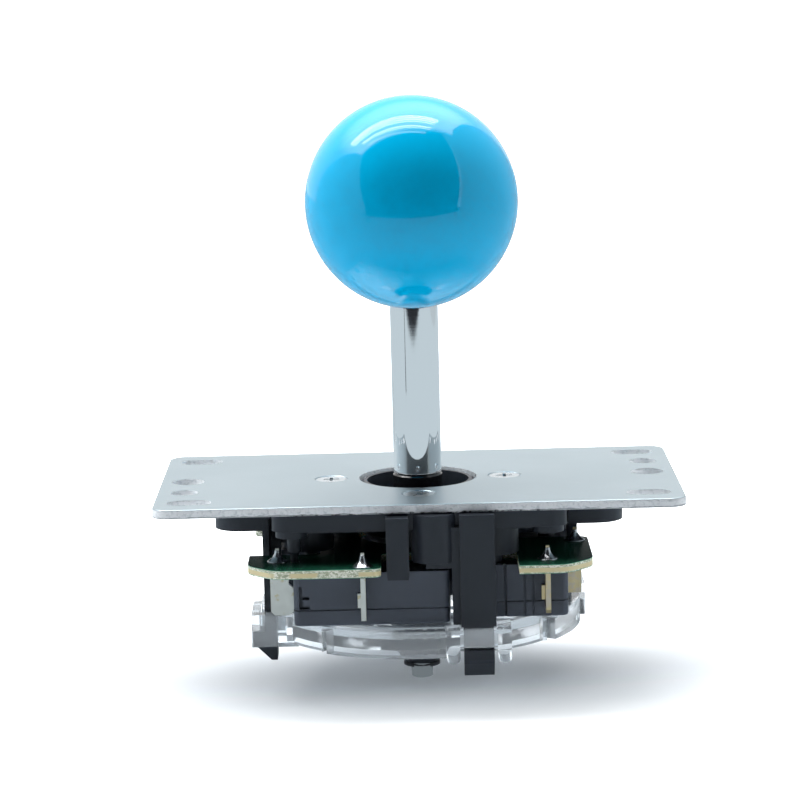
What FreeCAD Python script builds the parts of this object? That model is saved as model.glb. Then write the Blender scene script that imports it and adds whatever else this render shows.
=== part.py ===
import FreeCAD, Part
import math
import os

from FreeCAD import Vector

# Arcade joystick lever. Millimetres. The origin is the middle of the mounting
# plate's upper face on the lever's axis, +Z points up to the ball, X runs along
# the plate's long side and -Y is the side seen first.

# mounting plate
PLATE_LENGTH = 95.0
PLATE_WIDTH = 53.0
PLATE_THICK = 1.6
PLATE_CORNER = 3.0
PLATE_EDGE = 0.3
SLOT_FROM_END = 6.35
SLOT_FROM_SIDE = 6.5
SLOT_LENGTH = 8.0
SLOT_WIDTH = 4.6
SIDE_HOLE_FROM_END = 5.0
SIDE_HOLE_R = 3.0
OFFSET_HOLE_Y = 10.5
OFFSET_HOLE_R = 2.5
SLOT_X = PLATE_LENGTH / 2 - SLOT_FROM_END
SLOT_Y = PLATE_WIDTH / 2 - SLOT_FROM_SIDE
SIDE_HOLE_X = PLATE_LENGTH / 2 - SIDE_HOLE_FROM_END
PLATE_BOTTOM_Z = -PLATE_THICK

# plate screws, countersunk M3 x 8
SCREW_PITCH_R = 16.0
SCREW_R = 1.5
SCREW_HOLE_R = 1.7
SCREW_HEAD_R = 2.9
SCREW_LAND = 0.1
SCREW_SUNK = 0.1
SCREW_LENGTH = 8.0
SINK_GAP = 0.04
THREAD_GAP = 0.03

# circuit board's height, and the switches that hang from it. The switch on the
# front side is described, the others are turned round the axis.
BOARD_TOP_Z = -10.5
BOARD_THICK = 1.6
BOARD_BOTTOM_Z = BOARD_TOP_Z - BOARD_THICK
SWITCH_LENGTH = 27.8
SWITCH_DEPTH = 15.9
SWITCH_HEIGHT = 9.6
COVER_HEIGHT = 3.1
SWITCH_WALL = 1.2
SWITCH_CORNER = 1.1
SWITCH_HOLE_R = 1.55
SWITCH_HOLE_INSET = 2.8
SWITCH_X1 = 5.1
SWITCH_Y1 = -10.5
SWITCH_X0 = SWITCH_X1 - SWITCH_LENGTH
SWITCH_Y0 = SWITCH_Y1 - SWITCH_DEPTH
SWITCH_BOTTOM_Z = BOARD_BOTTOM_Z - SWITCH_HEIGHT
SEAM_Z = SWITCH_BOTTOM_Z + COVER_HEIGHT
OUTER_HOLE = (SWITCH_X1 - SWITCH_HOLE_INSET, SWITCH_Y0 + SWITCH_HOLE_INSET)
INNER_HOLE = (SWITCH_X0 + SWITCH_HOLE_INSET, SWITCH_Y1 - SWITCH_HOLE_INSET)
# end grooves: distance from the outer face, width and depth
END_GROOVES = ((6.3, 0.4, 0.4), (7.8, 0.4, 0.4), (11.3, 0.5, 0.8))
LATCH_INSET = 1.0
LATCH_GAP = 0.6
LATCH_DEPTH = 1.0
TERMINAL_THICK = 0.9
COM_PIN_OUT = 2.8
COM_PIN_ALONG = 3.8
NO_PIN_ALONG = 12.45
NO_PIN_OUT = 1.9
COM_PIN_XY = (SWITCH_X0 - COM_PIN_OUT, SWITCH_Y0 + COM_PIN_ALONG)
NO_PIN_XY = (SWITCH_X0 + NO_PIN_ALONG, SWITCH_Y0 - NO_PIN_OUT)
PIN_HALF = 0.32
PIN_HOLE_R = 0.6
PIN_TOP_Z = BOARD_TOP_Z + 2.4
CONE_TOP_Z = BOARD_TOP_Z + 2.05
CONE_R = 1.85
STRIP_Z = (SEAM_Z + 0.2, SEAM_Z + 2.8)
PLUNGER_HALF = 1.3
PLUNGER_GAP = 0.08
PLUNGER_FREE_GAP = 0.45
PLUNGER_MID_Z = SEAM_Z + 1.6
PLUNGER_END_Y = SWITCH_Y1 - 4.2

# pivot and its socket
PIVOT_Z = -8.0
TILT_LIMIT = math.radians(8.5)
SPHERE_R = 7.5
SOCKET_GAP = 0.15
NECK_R = 4.55
SPHERE_BOTTOM_Z = PIVOT_Z - 3.8
SOCKET_BOTTOM_Z = PIVOT_Z - 5.2
SOCKET_FOOT_R = 7.4
COLLAR_R = 10.5
COLLAR_GAP = 0.35
COLLAR_BORE_R = 9.4
COLLAR_TOP_Z = -0.4

# legs, gate and its loops, worked out from the switch's outer face
LEG_GAP = 2.1
LEG_THICK = 1.2
LEG_WIDTH = 6.25
LEG_END_GAP = 1.9
LEG_FOOT_REACH = 6.0
LEG_X0 = SWITCH_X1 + LEG_END_GAP
LEG_X1 = LEG_X0 + LEG_WIDTH
LEG_FACE_Y = SWITCH_Y0 - LEG_GAP
HOOK_Y = LEG_FACE_Y - 2.3
GATE_GAP = 0.7
GATE_HEIGHT = 4.9
GATE_TOP_Z = SWITCH_BOTTOM_Z - GATE_GAP
GATE_BOTTOM_Z = GATE_TOP_Z - GATE_HEIGHT
GATE_R = -LEG_FACE_Y - 0.2
GATE_POD_R = GATE_R + 1.3
GATE_WALL = 2.2
POD_X = 18.0
GATE_WEB_TOP_Z = GATE_TOP_Z - 2.0
GATE_WEB_THICK = 2.0
GATE_BOSS_R = 14.6
GATE_BOSS_TOP_Z = GATE_TOP_Z - 1.1
GATE_BOSS_BOTTOM_Z = GATE_BOTTOM_Z - 0.2
GATE_STOP_GAP = 0.1
RIM_SLOT_WIDTH = 1.6
LOOP_POST = 2.5
LOOP_BAR = 1.4
LOOP_X0 = LEG_X0 - 0.3 - LOOP_POST
LOOP_X1 = LEG_X1 + 0.1 + LOOP_POST
RIB_MID = LOOP_X0 - 3.7
RIB_WIDTH = 3.2
RIB_GAP = 0.8
LOOP_OUT_Y = HOOK_Y - 0.1
LOOP_INNER_Y = LEG_FACE_Y + LEG_THICK + 2.7
LOOP_TOP_Z = GATE_TOP_Z + 0.5
LOOP_FOOT_Z = GATE_BOTTOM_Z - 0.8
LOOP_BAR_FOOT_Z = GATE_BOTTOM_Z + 2.1
LEG_SHOULDER_Z = GATE_TOP_Z + 0.4
HOOK_TOP_Z = LOOP_BAR_FOOT_Z - 0.5
HOOK_FOOT_Z = HOOK_TOP_Z - 2.5
LEG_END_Z = HOOK_FOOT_Z - 2.8

# cup that presses the switches, with its tube
CUP_BAND_R = 8.95
CUP_RIM_R = 8.4
CUP_BORE_R = 7.3
CUP_FLOOR_THICK = 1.4
CUP_RIM_Z = PLUNGER_MID_Z + 2.7
CUP_BAND_TOP_Z = PLUNGER_MID_Z + 1.2
CUP_BAND_BOTTOM_Z = PLUNGER_MID_Z - 1.2
CUP_FLOOR_Z = PLUNGER_MID_Z - 4.5
TUBE_R = 5.6
TUBE_END_R = 3.2
TUBE_TAPER_Z = GATE_BOTTOM_Z - 4.2
TUBE_BELOW_GATE = 7.5
TUBE_END_Z = GATE_BOTTOM_Z - TUBE_BELOW_GATE
PLUNGER_TIP_Y = -CUP_BAND_R - PLUNGER_FREE_GAP

# shaft, ball and retaining ring
BALL_R = 19.48
BALL_Z = 51.0
BALL_FLAT_R = 4.75
INSERT_R = 4.4
INSERT_LENGTH = 12.0
STUD_R = 3.0
STUD_LENGTH = 10.5
SHAFT_R = 4.425
SHAFT_FOOT_Z = 1.0
JOURNAL_R = 3.0
TIP_R = 2.0
TIP_START_Z = GATE_BOTTOM_Z - 2.2
RING_GAP = 0.05
RING_THICK = 0.6
RING_R = 3.4
GROOVE_R = 1.5
GROOVE_TOP_Z = TUBE_END_Z - 0.02
GROOVE_WIDTH = 0.7
SHAFT_END_Z = GROOVE_TOP_Z - 2.98
RUNNING_FIT = 0.04

# spring and its two seats
SPRING_R = 6.0
SPRING_WIRE = 1.0
SPRING_TURNS = 3.25
SEAT_THICK = 0.7
SEAT_R = 6.9
SEAT_BORE_R = 5.0

# housing
FLANGE_HALF = -SWITCH_Y0 - 0.1
FLANGE_CORNER = 3.0
FLANGE_THICK = 3.0
FLANGE_BOTTOM_Z = PLATE_BOTTOM_Z - FLANGE_THICK
SKIN_THICK = 1.7
RIM_THICK = 1.8
TIE_Y = 0.8 - FLANGE_HALF
CORNER_POST_XY = FLANGE_HALF - 3.5
CORNER_POST_R = 2.9
CORNER_POST_DROP = 1.35
PEG_XY = (FLANGE_HALF - 3.9, FLANGE_HALF - 3.1)
PEG_R = 1.2
PEG_PIN_R = 0.7
EAR_FROM_END = 10.2
EAR_X = PLATE_LENGTH / 2 - EAR_FROM_END
EAR_X0 = FLANGE_HALF + 0.8
EAR_HALF = 12.0
EAR_CORNER = 5.0
EAR_WALL = 1.6
EAR_BOTTOM_Z = PLATE_BOTTOM_Z - 5.5
WING_THICK = 1.4
OUTER_POST_XY = (OUTER_HOLE[0] + 0.3, OUTER_HOLE[1] - 0.8)
OUTER_POST_R = 4.2
INNER_POST_R = 4.4
INNER_POST_FOOT_Z = BOARD_TOP_Z + 0.45
SWITCH_PEG_R = 1.5
SWITCH_PEG_END_Z = BOARD_BOTTOM_Z - 3.4
TONGUE_X0 = NO_PIN_XY[0] + 4.25
TONGUE_X1 = TONGUE_X0 + 4.0
TONGUE_FACE_Y = LEG_FACE_Y - 0.5
TONGUE_END_Z = BOARD_TOP_Z - 2.6

# circuit board's outline
BOARD_MARGIN = 2.25
BOARD_HALF = BOARD_MARGIN - LEG_FACE_Y
BOARD_CHAMFER = 4.8
BOARD_CORNER = 5.0
BOARD_BORE_R = 11.4
NOTCH_X0 = TONGUE_X0 - 1.0
NOTCH_X1 = LEG_X1 + 4.15
NOTCH_Y = LEG_FACE_Y + 10.6
NOTCH_R = 1.5

# connector on the board's rear edge, between two solder cones
PLUG_X = -(COM_PIN_XY[0] + NO_PIN_XY[0]) / 2
PLUG_HALF = 5.4
PLUG_Y1 = BOARD_HALF + 0.25
PLUG_DEPTH = 6.1
PLUG_Y0 = PLUG_Y1 - PLUG_DEPTH
PLUG_HEIGHT = 4.3
PLUG_WALL = 0.7
PLUG_PITCH = 2.0
PLUG_PINS = 5
PLUG_PIN_HALF = 0.25

SIDES = ("front", "right", "back", "left")
FAR = 2 * PLATE_LENGTH
UP = Vector(0, 0, 1)


def block(x0, x1, y0, y1, z0, z1):
    """Box between pairs of coordinates, in any order."""
    corner = Vector(min(x0, x1), min(y0, y1), min(z0, z1))
    return Part.makeBox(abs(x1 - x0), abs(y1 - y0), abs(z1 - z0), corner)


def rod(r, z0, z1, x=0.0, y=0.0):
    """Upright cylinder."""
    return Part.makeCylinder(r, abs(z1 - z0), Vector(x, y, min(z0, z1)))


def cone(r_low, r_high, z_low, z_high, x=0.0, y=0.0):
    """Upright cone whose radius is r_low at the lower end."""
    return Part.makeCone(r_low, r_high, z_high - z_low, Vector(x, y, z_low))


def ring(r_out, r_in, z0, z1, x=0.0, y=0.0):
    """Upright tube."""
    return rod(r_out, z0, z1, x, y).cut(rod(r_in, z0, z1, x, y))


def turned(profile):
    """Body turned round the Z axis from (radius, height) points."""
    points = [Vector(r, 0, z) for r, z in profile]
    face = Part.Face(Part.makePolygon(points + [points[0]]))
    return face.revolve(Vector(0, 0, 0), UP, 360)


def side_prism(points, x0, x1):
    """Prism along X over (y, z) corners."""
    corners = [Vector(x0, y, z) for y, z in points]
    face = Part.Face(Part.makePolygon(corners + [corners[0]]))
    return face.extrude(Vector(x1 - x0, 0, 0))


def front_prism(points, y0, y1):
    """Prism along Y over (x, z) corners."""
    corners = [Vector(x, y0, z) for x, z in points]
    face = Part.Face(Part.makePolygon(corners + [corners[0]]))
    return face.extrude(Vector(0, y1 - y0, 0))


def upright_edges(shape, keep=None):
    """Straight edges that run along Z, all of them or those that keep() picks."""
    found = []
    for edge in shape.Edges:
        a = edge.Vertexes[0].Point
        b = edge.Vertexes[-1].Point
        if abs(a.x - b.x) + abs(a.y - b.y) > 1e-6 or abs(a.z - b.z) < 1e-6:
            continue
        if keep is None or keep(a):
            found.append(edge)
    return found


def slab(half_x, half_y, r, z0, z1, x=0.0, y=0.0):
    """Rectangular slab with rounded upright corners."""
    body = block(x - half_x, x + half_x, y - half_y, y + half_y, z0, z1)
    return body.makeFillet(r, upright_edges(body))


def slot_cutter(x, y, length, width, z0, z1):
    """Long hole along X, length measured end to end."""
    r = width / 2
    reach = length / 2 - r
    body = block(x - reach, x + reach, y - r, y + r, z0, z1)
    return join([body, rod(r, z0, z1, x - reach, y), rod(r, z0, z1, x + reach, y)])


def join(shapes):
    """One body from bodies that touch."""
    return shapes[0].multiFuse(shapes[1:]).removeSplitter()


def quarter(shape, turns):
    """The shape turned about the lever's axis by quarter turns."""
    turned_shape = shape.copy()
    turned_shape.rotate(Vector(0, 0, 0), UP, 90 * turns)
    return turned_shape


def all_round(shape):
    """The shape at each of the four sides."""
    return [quarter(shape, n) for n in range(4)]


def plate_rim(plate):
    """Outer edges of the plate's upper face."""
    found = []
    for edge in plate.Edges:
        box = edge.BoundBox
        flat = box.ZMin > -1e-6
        outside = max(abs(box.XMin), abs(box.XMax)) > PLATE_LENGTH / 2 - 1e-6
        outside = outside or max(abs(box.YMin), abs(box.YMax)) > PLATE_WIDTH / 2 - 1e-6
        if flat and outside:
            found.append(edge)
    return found


def screw_places():
    return [
        (SCREW_PITCH_R, 0),
        (0, SCREW_PITCH_R),
        (-SCREW_PITCH_R, 0),
        (0, -SCREW_PITCH_R),
    ]


def countersink(x, y, r, top):
    """Cone of ninety degrees that ends at the screw hole's radius."""
    depth = r - SCREW_R
    return cone(SCREW_R, r, top - depth, top, x, y)


def mounting_plate():
    body = slab(PLATE_LENGTH / 2, PLATE_WIDTH / 2, PLATE_CORNER, PLATE_BOTTOM_Z, 0)
    body = body.makeFillet(PLATE_EDGE, plate_rim(body))
    low = PLATE_BOTTOM_Z - 1
    cuts = [rod(COLLAR_R + COLLAR_GAP, low, 1)]
    for sx in (-1, 1):
        for sy in (-1, 1):
            cuts.append(slot_cutter(sx * SLOT_X, sy * SLOT_Y, SLOT_LENGTH, SLOT_WIDTH, low, 1))
        cuts.append(rod(SIDE_HOLE_R, low, 1, sx * SIDE_HOLE_X, 0))
        cuts.append(rod(OFFSET_HOLE_R, low, 1, sx * SIDE_HOLE_X, sx * OFFSET_HOLE_Y))
    for x, y in screw_places():
        cuts.append(rod(SCREW_HOLE_R, low, 1, x, y))
        cuts.append(countersink(x, y, SCREW_HEAD_R + SCREW_LAND + SCREW_SUNK + SINK_GAP, 0))
    return body.cut(cuts)


def plate_screw(x, y):
    """Countersunk screw with a cross recess, head just under the plate's face."""
    top = -SCREW_SUNK
    head = countersink(x, y, SCREW_HEAD_R, top - SCREW_LAND)
    land = rod(SCREW_HEAD_R - SCREW_LAND, top - SCREW_LAND, top, x, y)
    shank = rod(SCREW_R, -SCREW_LENGTH + 0.6, top, x, y)
    point = cone(0.9, SCREW_R, -SCREW_LENGTH, -SCREW_LENGTH + 0.6, x, y)
    body = join([head, land, shank, point])
    cross = []
    for dx, dy in ((1.45, 0.3), (0.3, 1.45)):
        cross.append(block(x - dx, x + dx, y - dy, y + dy, top - 1.0, top + 1))
    return body.cut(cross)


def plate_screws():
    return Part.makeCompound([plate_screw(x, y) for x, y in screw_places()])


def ball_top():
    """Sphere with a flat seat for the shaft's shoulder and a bore for the insert."""
    seat_z = ball_seat_z()
    body = Part.makeSphere(BALL_R, Vector(0, 0, BALL_Z))
    body = body.cut(rod(BALL_R, seat_z - 4, seat_z))
    return body.cut(rod(INSERT_R, seat_z, seat_z + INSERT_LENGTH + 0.5))


def ball_seat_z():
    return BALL_Z - math.sqrt(BALL_R ** 2 - BALL_FLAT_R ** 2)


def ball_insert():
    """Threaded sleeve pressed into the ball, with grooves that hold it."""
    z0 = ball_seat_z()
    z1 = z0 + INSERT_LENGTH
    body = ring(INSERT_R, STUD_R + THREAD_GAP, z0, z1)
    for share in (0.3, 0.7):
        z = z0 + INSERT_LENGTH * share
        body = body.cut(ring(INSERT_R + 1, INSERT_R - 0.5, z - 0.5, z + 0.5))
    return body


def shaft():
    """One turned bar: threaded stud, thick grip part, journal and thin end."""
    shoulder = ball_seat_z()
    stud_top = shoulder + STUD_LENGTH
    groove_low = GROOVE_TOP_Z - GROOVE_WIDTH
    profile = [
        (0, stud_top),
        (STUD_R - 0.5, stud_top),
        (STUD_R, stud_top - 0.5),
        (STUD_R, shoulder + 0.8),
        (STUD_R - 0.35, shoulder + 0.8),
        (STUD_R - 0.35, shoulder),
        (SHAFT_R - 0.3, shoulder),
        (SHAFT_R, shoulder - 0.3),
        (SHAFT_R, SHAFT_FOOT_Z + 0.7),
        (SHAFT_R - 0.5, SHAFT_FOOT_Z),
        (JOURNAL_R, SHAFT_FOOT_Z),
        (JOURNAL_R, TIP_START_Z + 0.3),
        (JOURNAL_R - 0.3, TIP_START_Z),
        (TIP_R, TIP_START_Z),
        (TIP_R, GROOVE_TOP_Z),
        (GROOVE_R, GROOVE_TOP_Z),
        (GROOVE_R, groove_low),
        (TIP_R, groove_low),
        (TIP_R, SHAFT_END_Z + 0.45),
        (TIP_R - 0.45, SHAFT_END_Z),
        (0, SHAFT_END_Z),
    ]
    body = turned(profile)
    driver_slot = block(-3, 3, -0.4, 0.4, SHAFT_END_Z - 1, SHAFT_END_Z + 1.0)
    return body.cut(driver_slot)


def pivot():
    """Ball with a neck: the shaft turns in it, and it rocks in the socket."""
    ball = Part.makeSphere(SPHERE_R, Vector(0, 0, PIVOT_Z))
    ball = ball.cut(rod(SPHERE_R + 1, SPHERE_BOTTOM_Z - 5, SPHERE_BOTTOM_Z))
    neck = turned([
        (0, PIVOT_Z),
        (NECK_R, PIVOT_Z),
        (NECK_R, SHAFT_FOOT_Z - 0.4),
        (NECK_R - 0.4, SHAFT_FOOT_Z),
        (0, SHAFT_FOOT_Z),
    ])
    body = join([ball, neck])
    return body.cut(rod(JOURNAL_R + RUNNING_FIT, SPHERE_BOTTOM_Z - 1, SHAFT_FOOT_Z + 1))


def upper_spring_seat():
    """Washer under the socket, with a lip that centres the spring."""
    top = SOCKET_BOTTOM_Z
    low = top - SEAT_THICK
    washer = ring(SEAT_R, SEAT_BORE_R, low, top)
    lip = ring(SEAT_BORE_R + 0.35, SEAT_BORE_R, low - 0.6, low)
    return join([washer, lip])


def lower_spring_seat():
    """Washer on the cup's floor."""
    low = CUP_FLOOR_Z + CUP_FLOOR_THICK
    return ring(SEAT_R + 0.4, JOURNAL_R + 0.4, low, low + SEAT_THICK)


def wire_section(centre, r):
    """Twelve-sided section of the spring's wire, which keeps the coil light."""
    points = []
    for n in range(12):
        a = math.pi * n / 6
        points.append(centre + Vector(r * math.cos(a), 0, r * math.sin(a)))
    return Part.makePolygon(points + [points[0]])


def return_spring():
    """Coil between the seats, its first and last turns lying flat."""
    r = SPRING_WIRE / 2
    top = SOCKET_BOTTOM_Z - SEAT_THICK - r
    low = CUP_FLOOR_Z + CUP_FLOOR_THICK + SEAT_THICK + r
    rise = top - low
    pitch = rise / SPRING_TURNS
    path = Part.makeHelix(pitch, rise, SPRING_R)
    path.translate(Vector(0, 0, low))
    section = wire_section(Vector(SPRING_R, 0, low), r)
    coil = Part.Wire(path).makePipeShell([section], True, True)
    flat = block(-20, 20, -20, 20, low - r + 0.05, top + r - 0.05)
    return coil.common(flat)


def actuator():
    """Cup that meets the plungers, and the tube that the gate stops."""
    outer = [
        (CUP_BORE_R, CUP_RIM_Z),
        (CUP_RIM_R - 0.2, CUP_RIM_Z),
        (CUP_RIM_R, CUP_RIM_Z - 0.2),
        (CUP_BAND_R, CUP_BAND_TOP_Z),
        (CUP_BAND_R, CUP_BAND_BOTTOM_Z),
        (CUP_RIM_R - 0.4, CUP_FLOOR_Z + 0.4),
        (CUP_RIM_R - 0.8, CUP_FLOOR_Z),
        (TUBE_R, CUP_FLOOR_Z),
        (TUBE_R, TUBE_TAPER_Z),
        (TUBE_END_R, TUBE_END_Z),
        (TIP_R + RUNNING_FIT, TUBE_END_Z),
        (TIP_R + RUNNING_FIT, TIP_START_Z),
        (JOURNAL_R + RUNNING_FIT, TIP_START_Z),
        (JOURNAL_R + RUNNING_FIT, CUP_FLOOR_Z + CUP_FLOOR_THICK),
        (CUP_BORE_R, CUP_FLOOR_Z + CUP_FLOOR_THICK),
    ]
    return turned(outer)


def e_ring():
    """Retaining ring: open on one side, gripping the groove at three places."""
    z1 = TUBE_END_Z - RING_GAP
    z0 = z1 - RING_THICK
    inner = RING_R - 1.15
    body = ring(RING_R, inner, z0, z1)
    grips = []
    for angle in (0, 90, 180):
        grip = block(GROOVE_R + 0.01, inner + 0.5, -0.7, 0.7, z0, z1)
        grip.rotate(Vector(0, 0, 0), UP, angle)
        grips.append(grip)
    body = join([body] + grips)
    body = body.cut(block(-GROOVE_R, GROOVE_R, -RING_R - 1, -1, z0 - 1, z1 + 1))
    return body.cut(rod(GROOVE_R + 0.01, z0 - 1, z1 + 1))


def housing_core():
    """Collar in the plate's hole, and the socket for the pivot's ball."""
    low_r = SPHERE_R + SOCKET_GAP
    drop = PIVOT_Z - SOCKET_BOTTOM_Z
    mouth_r = math.sqrt(low_r ** 2 - drop ** 2)
    outside = turned([
        (0, COLLAR_TOP_Z),
        (COLLAR_R - 0.5, COLLAR_TOP_Z),
        (COLLAR_R, COLLAR_TOP_Z - 0.5),
        (COLLAR_R, FLANGE_BOTTOM_Z),
        (COLLAR_R + 0.3, FLANGE_BOTTOM_Z),
        (COLLAR_R + 0.3, SOCKET_BOTTOM_Z + 3.6),
        (SOCKET_FOOT_R, SOCKET_BOTTOM_Z + 0.3),
        (SOCKET_FOOT_R, SOCKET_BOTTOM_Z),
        (0, SOCKET_BOTTOM_Z),
    ])
    hollow = turned([
        (0, COLLAR_TOP_Z + 1),
        (COLLAR_BORE_R, COLLAR_TOP_Z + 1),
        (COLLAR_BORE_R, PIVOT_Z + 3),
        (low_r, PIVOT_Z),
        (0, PIVOT_Z),
    ])
    seat = Part.makeSphere(low_r, Vector(0, 0, PIVOT_Z))
    mouth = rod(mouth_r, SOCKET_BOTTOM_Z - 1, PIVOT_Z)
    return outside, [hollow, seat, mouth]


def flange():
    """Square flange: a skin with a deeper rim and an inner ledge."""
    skin = slab(FLANGE_HALF, FLANGE_HALF, FLANGE_CORNER, FLANGE_BOTTOM_Z, PLATE_BOTTOM_Z)
    inside = FLANGE_HALF - RIM_THICK
    skin = skin.cut(slab(inside, inside, 1.2, FLANGE_BOTTOM_Z - 1, PLATE_BOTTOM_Z - SKIN_THICK))
    ledge = slab(inside - 0.6, inside - 0.6, 1.0, FLANGE_BOTTOM_Z - 0.7, PLATE_BOTTOM_Z - 1)
    ledge = ledge.cut(slab(inside - 1.8, inside - 1.8, 1.0, FLANGE_BOTTOM_Z - 1, PLATE_BOTTOM_Z - SKIN_THICK))
    return join([skin, ledge])


def wing():
    """Thin layer under the plate that carries the two ear pads."""
    low = PLATE_BOTTOM_Z - WING_THICK
    return slab(EAR_X, EAR_HALF, EAR_CORNER, low, PLATE_BOTTOM_Z)


def ear(side):
    """Pad under the plate's end, hollow below with cross ribs."""
    mid = side * (EAR_X0 + EAR_X) / 2
    half = (EAR_X - EAR_X0) / 2
    pad = block(mid - half, mid + half, -EAR_HALF, EAR_HALF, EAR_BOTTOM_Z, PLATE_BOTTOM_Z)
    r = min(EAR_CORNER, 1.8 * half)
    pad = pad.makeFillet(r, upright_edges(pad, lambda p: abs(p.x) > EAR_X - 1))
    dx = half - EAR_WALL
    dy = EAR_HALF - EAR_WALL
    hollow = block(mid - dx, mid + dx, -dy, dy, EAR_BOTTOM_Z - 1, PLATE_BOTTOM_Z - 1.8)
    hollow = hollow.makeFillet(min(r - EAR_WALL, 1.8 * dx), upright_edges(hollow, lambda p: abs(p.x) > abs(mid)))
    pad = pad.cut(hollow)
    ribs = []
    for y in (-0.42 * EAR_HALF, 0.42 * EAR_HALF):
        ribs.append(block(side * (EAR_X0 + 1), side * (EAR_X - 1), y - 0.6, y + 0.6,
                          EAR_BOTTOM_Z + 0.4, PLATE_BOTTOM_Z - 1))
    return join([pad] + ribs)


def corner_posts():
    """Posts in the flange's corners, two of them with a peg for the board."""
    found = []
    for sx in (-1, 1):
        for sy in (-1, 1):
            found.append(rod(CORNER_POST_R, FLANGE_BOTTOM_Z - CORNER_POST_DROP, PLATE_BOTTOM_Z,
                             sx * CORNER_POST_XY, sy * CORNER_POST_XY))
    shoulder = BOARD_TOP_Z + 1.4
    for s in (-1, 1):
        x, y = s * PEG_XY[0], s * PEG_XY[1]
        found.append(rod(PEG_R, shoulder + 0.5, FLANGE_BOTTOM_Z, x, y))
        found.append(cone(PEG_R - 0.4, PEG_R, shoulder, shoulder + 0.5, x, y))
        found.append(rod(PEG_PIN_R, BOARD_BOTTOM_Z + 0.2, shoulder + 0.2, x, y))
    return found


def webs():
    """Upright webs from the socket to the rim, with the screw bosses on them."""
    found = []
    inside = FLANGE_HALF - 1.0
    start = COLLAR_R - 0.6
    low = -SCREW_LENGTH - 0.6
    web = block(-0.8, 0.8, -inside, -start, low, PLATE_BOTTOM_Z - 1)
    boss = rod(2 * SCREW_R + 0.1, low - 0.8, PLATE_BOTTOM_Z - 1, 0, -SCREW_PITCH_R)
    found += all_round(join([web, boss]))
    reach = math.sqrt(2) * CORNER_POST_XY - 2.0
    brace = block(-0.7, 0.7, -reach, -start, FLANGE_BOTTOM_Z - 1.0, PLATE_BOTTOM_Z - 1)
    brace.rotate(Vector(0, 0, 0), UP, -45)
    found += all_round(brace)
    return found


def latch_leg():
    """Long leg with a hook, tied to the flange and stiffened on one side."""
    back = LEG_FACE_Y + LEG_THICK
    tie = block(LEG_X0, LEG_X1, LEG_FACE_Y, TIE_Y, FLANGE_BOTTOM_Z, PLATE_BOTTOM_Z - 0.2)
    upper = block(LEG_X0, LEG_X1, LEG_FACE_Y, back, LEG_SHOULDER_Z, PLATE_BOTTOM_Z - 0.2)
    lower = side_prism([
        (LEG_FACE_Y, LEG_SHOULDER_Z + 1),
        (LEG_FACE_Y, HOOK_TOP_Z),
        (HOOK_Y, HOOK_TOP_Z),
        (HOOK_Y, HOOK_FOOT_Z + 0.7),
        (HOOK_Y + 0.4, HOOK_FOOT_Z),
        (LEG_FACE_Y + 1.0, LEG_END_Z),
        (back + 0.9, LEG_END_Z),
        (back + 0.9, LEG_SHOULDER_Z),
        (back, LEG_SHOULDER_Z + 1),
    ], LEG_X0 + 0.4, LEG_X1 - 0.5)
    stiffener = block(LEG_X0 - 1.4, LEG_X0 + 0.4, back - 0.1, back + 1.9, LOOP_TOP_Z + 0.15, FLANGE_BOTTOM_Z + 0.5)
    foot = block(LEG_X0 - LEG_FOOT_REACH, LEG_X0, back - 0.1, back + 0.8, BOARD_TOP_Z - 1.0, BOARD_TOP_Z + 0.3)
    return join([tie, upper, lower, stiffener, foot])


def guide_tongue():
    """Short tongue outside the switch's case."""
    face = TONGUE_FACE_Y
    top = PLATE_BOTTOM_Z - 0.4
    taper = TONGUE_END_Z + 1.1
    tie = block(TONGUE_X0, TONGUE_X1, face, TIE_Y, FLANGE_BOTTOM_Z, top)
    strip = front_prism([
        (TONGUE_X0, top),
        (TONGUE_X1, top),
        (TONGUE_X1, taper),
        (TONGUE_X1 - 0.15, TONGUE_END_Z),
        (TONGUE_X0 + 0.15, TONGUE_END_Z),
        (TONGUE_X0, taper),
    ], face, face + 1.8)
    return join([tie, strip])


def switch_posts():
    """Posts above a switch: two carry pegs that reach into its case."""
    x, y = OUTER_POST_XY
    a, b = INNER_HOLE
    low = BOARD_TOP_Z + 0.05
    found = [
        rod(OUTER_POST_R, low, PLATE_BOTTOM_Z - 0.2, x, y),
        rod(INNER_POST_R, INNER_POST_FOOT_Z, PLATE_BOTTOM_Z - 0.2, a, b),
    ]
    tip = SWITCH_PEG_END_Z
    for u, v in switch_holes():
        found.append(rod(SWITCH_PEG_R, tip + 0.5, INNER_POST_FOOT_Z, u, v))
        found.append(cone(SWITCH_PEG_R - 0.4, SWITCH_PEG_R, tip, tip + 0.5, u, v))
    return found


def housing():
    outside, hollows = housing_core()
    parts = [flange(), wing(), outside, ear(-1), ear(1)] + corner_posts() + webs()
    for piece in [latch_leg(), guide_tongue()] + switch_posts():
        parts += all_round(piece)
    body = join(parts)
    cuts = list(hollows)
    for x, y in screw_places():
        cuts.append(rod(SCREW_R + THREAD_GAP, -SCREW_LENGTH - 0.6, 0, x, y))
    return body.cut(cuts)


def board_outline():
    """Square board with cut corners and a notch in each side."""
    half = BOARD_HALF
    body = block(-half, half, -half, half, BOARD_BOTTOM_Z, BOARD_TOP_Z)
    body = body.makeChamfer(BOARD_CHAMFER, upright_edges(body))
    body = body.makeFillet(BOARD_CORNER, upright_edges(body))
    notch = block(NOTCH_X0, NOTCH_X1, -half - 1, NOTCH_Y, BOARD_BOTTOM_Z - 1, BOARD_TOP_Z + 1)
    notch = notch.makeFillet(NOTCH_R, upright_edges(notch, lambda p: p.y > NOTCH_Y - 0.1))
    mouth = board_mouth_round()
    return body.cut(all_round(notch)).cut(all_round(mouth))


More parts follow.
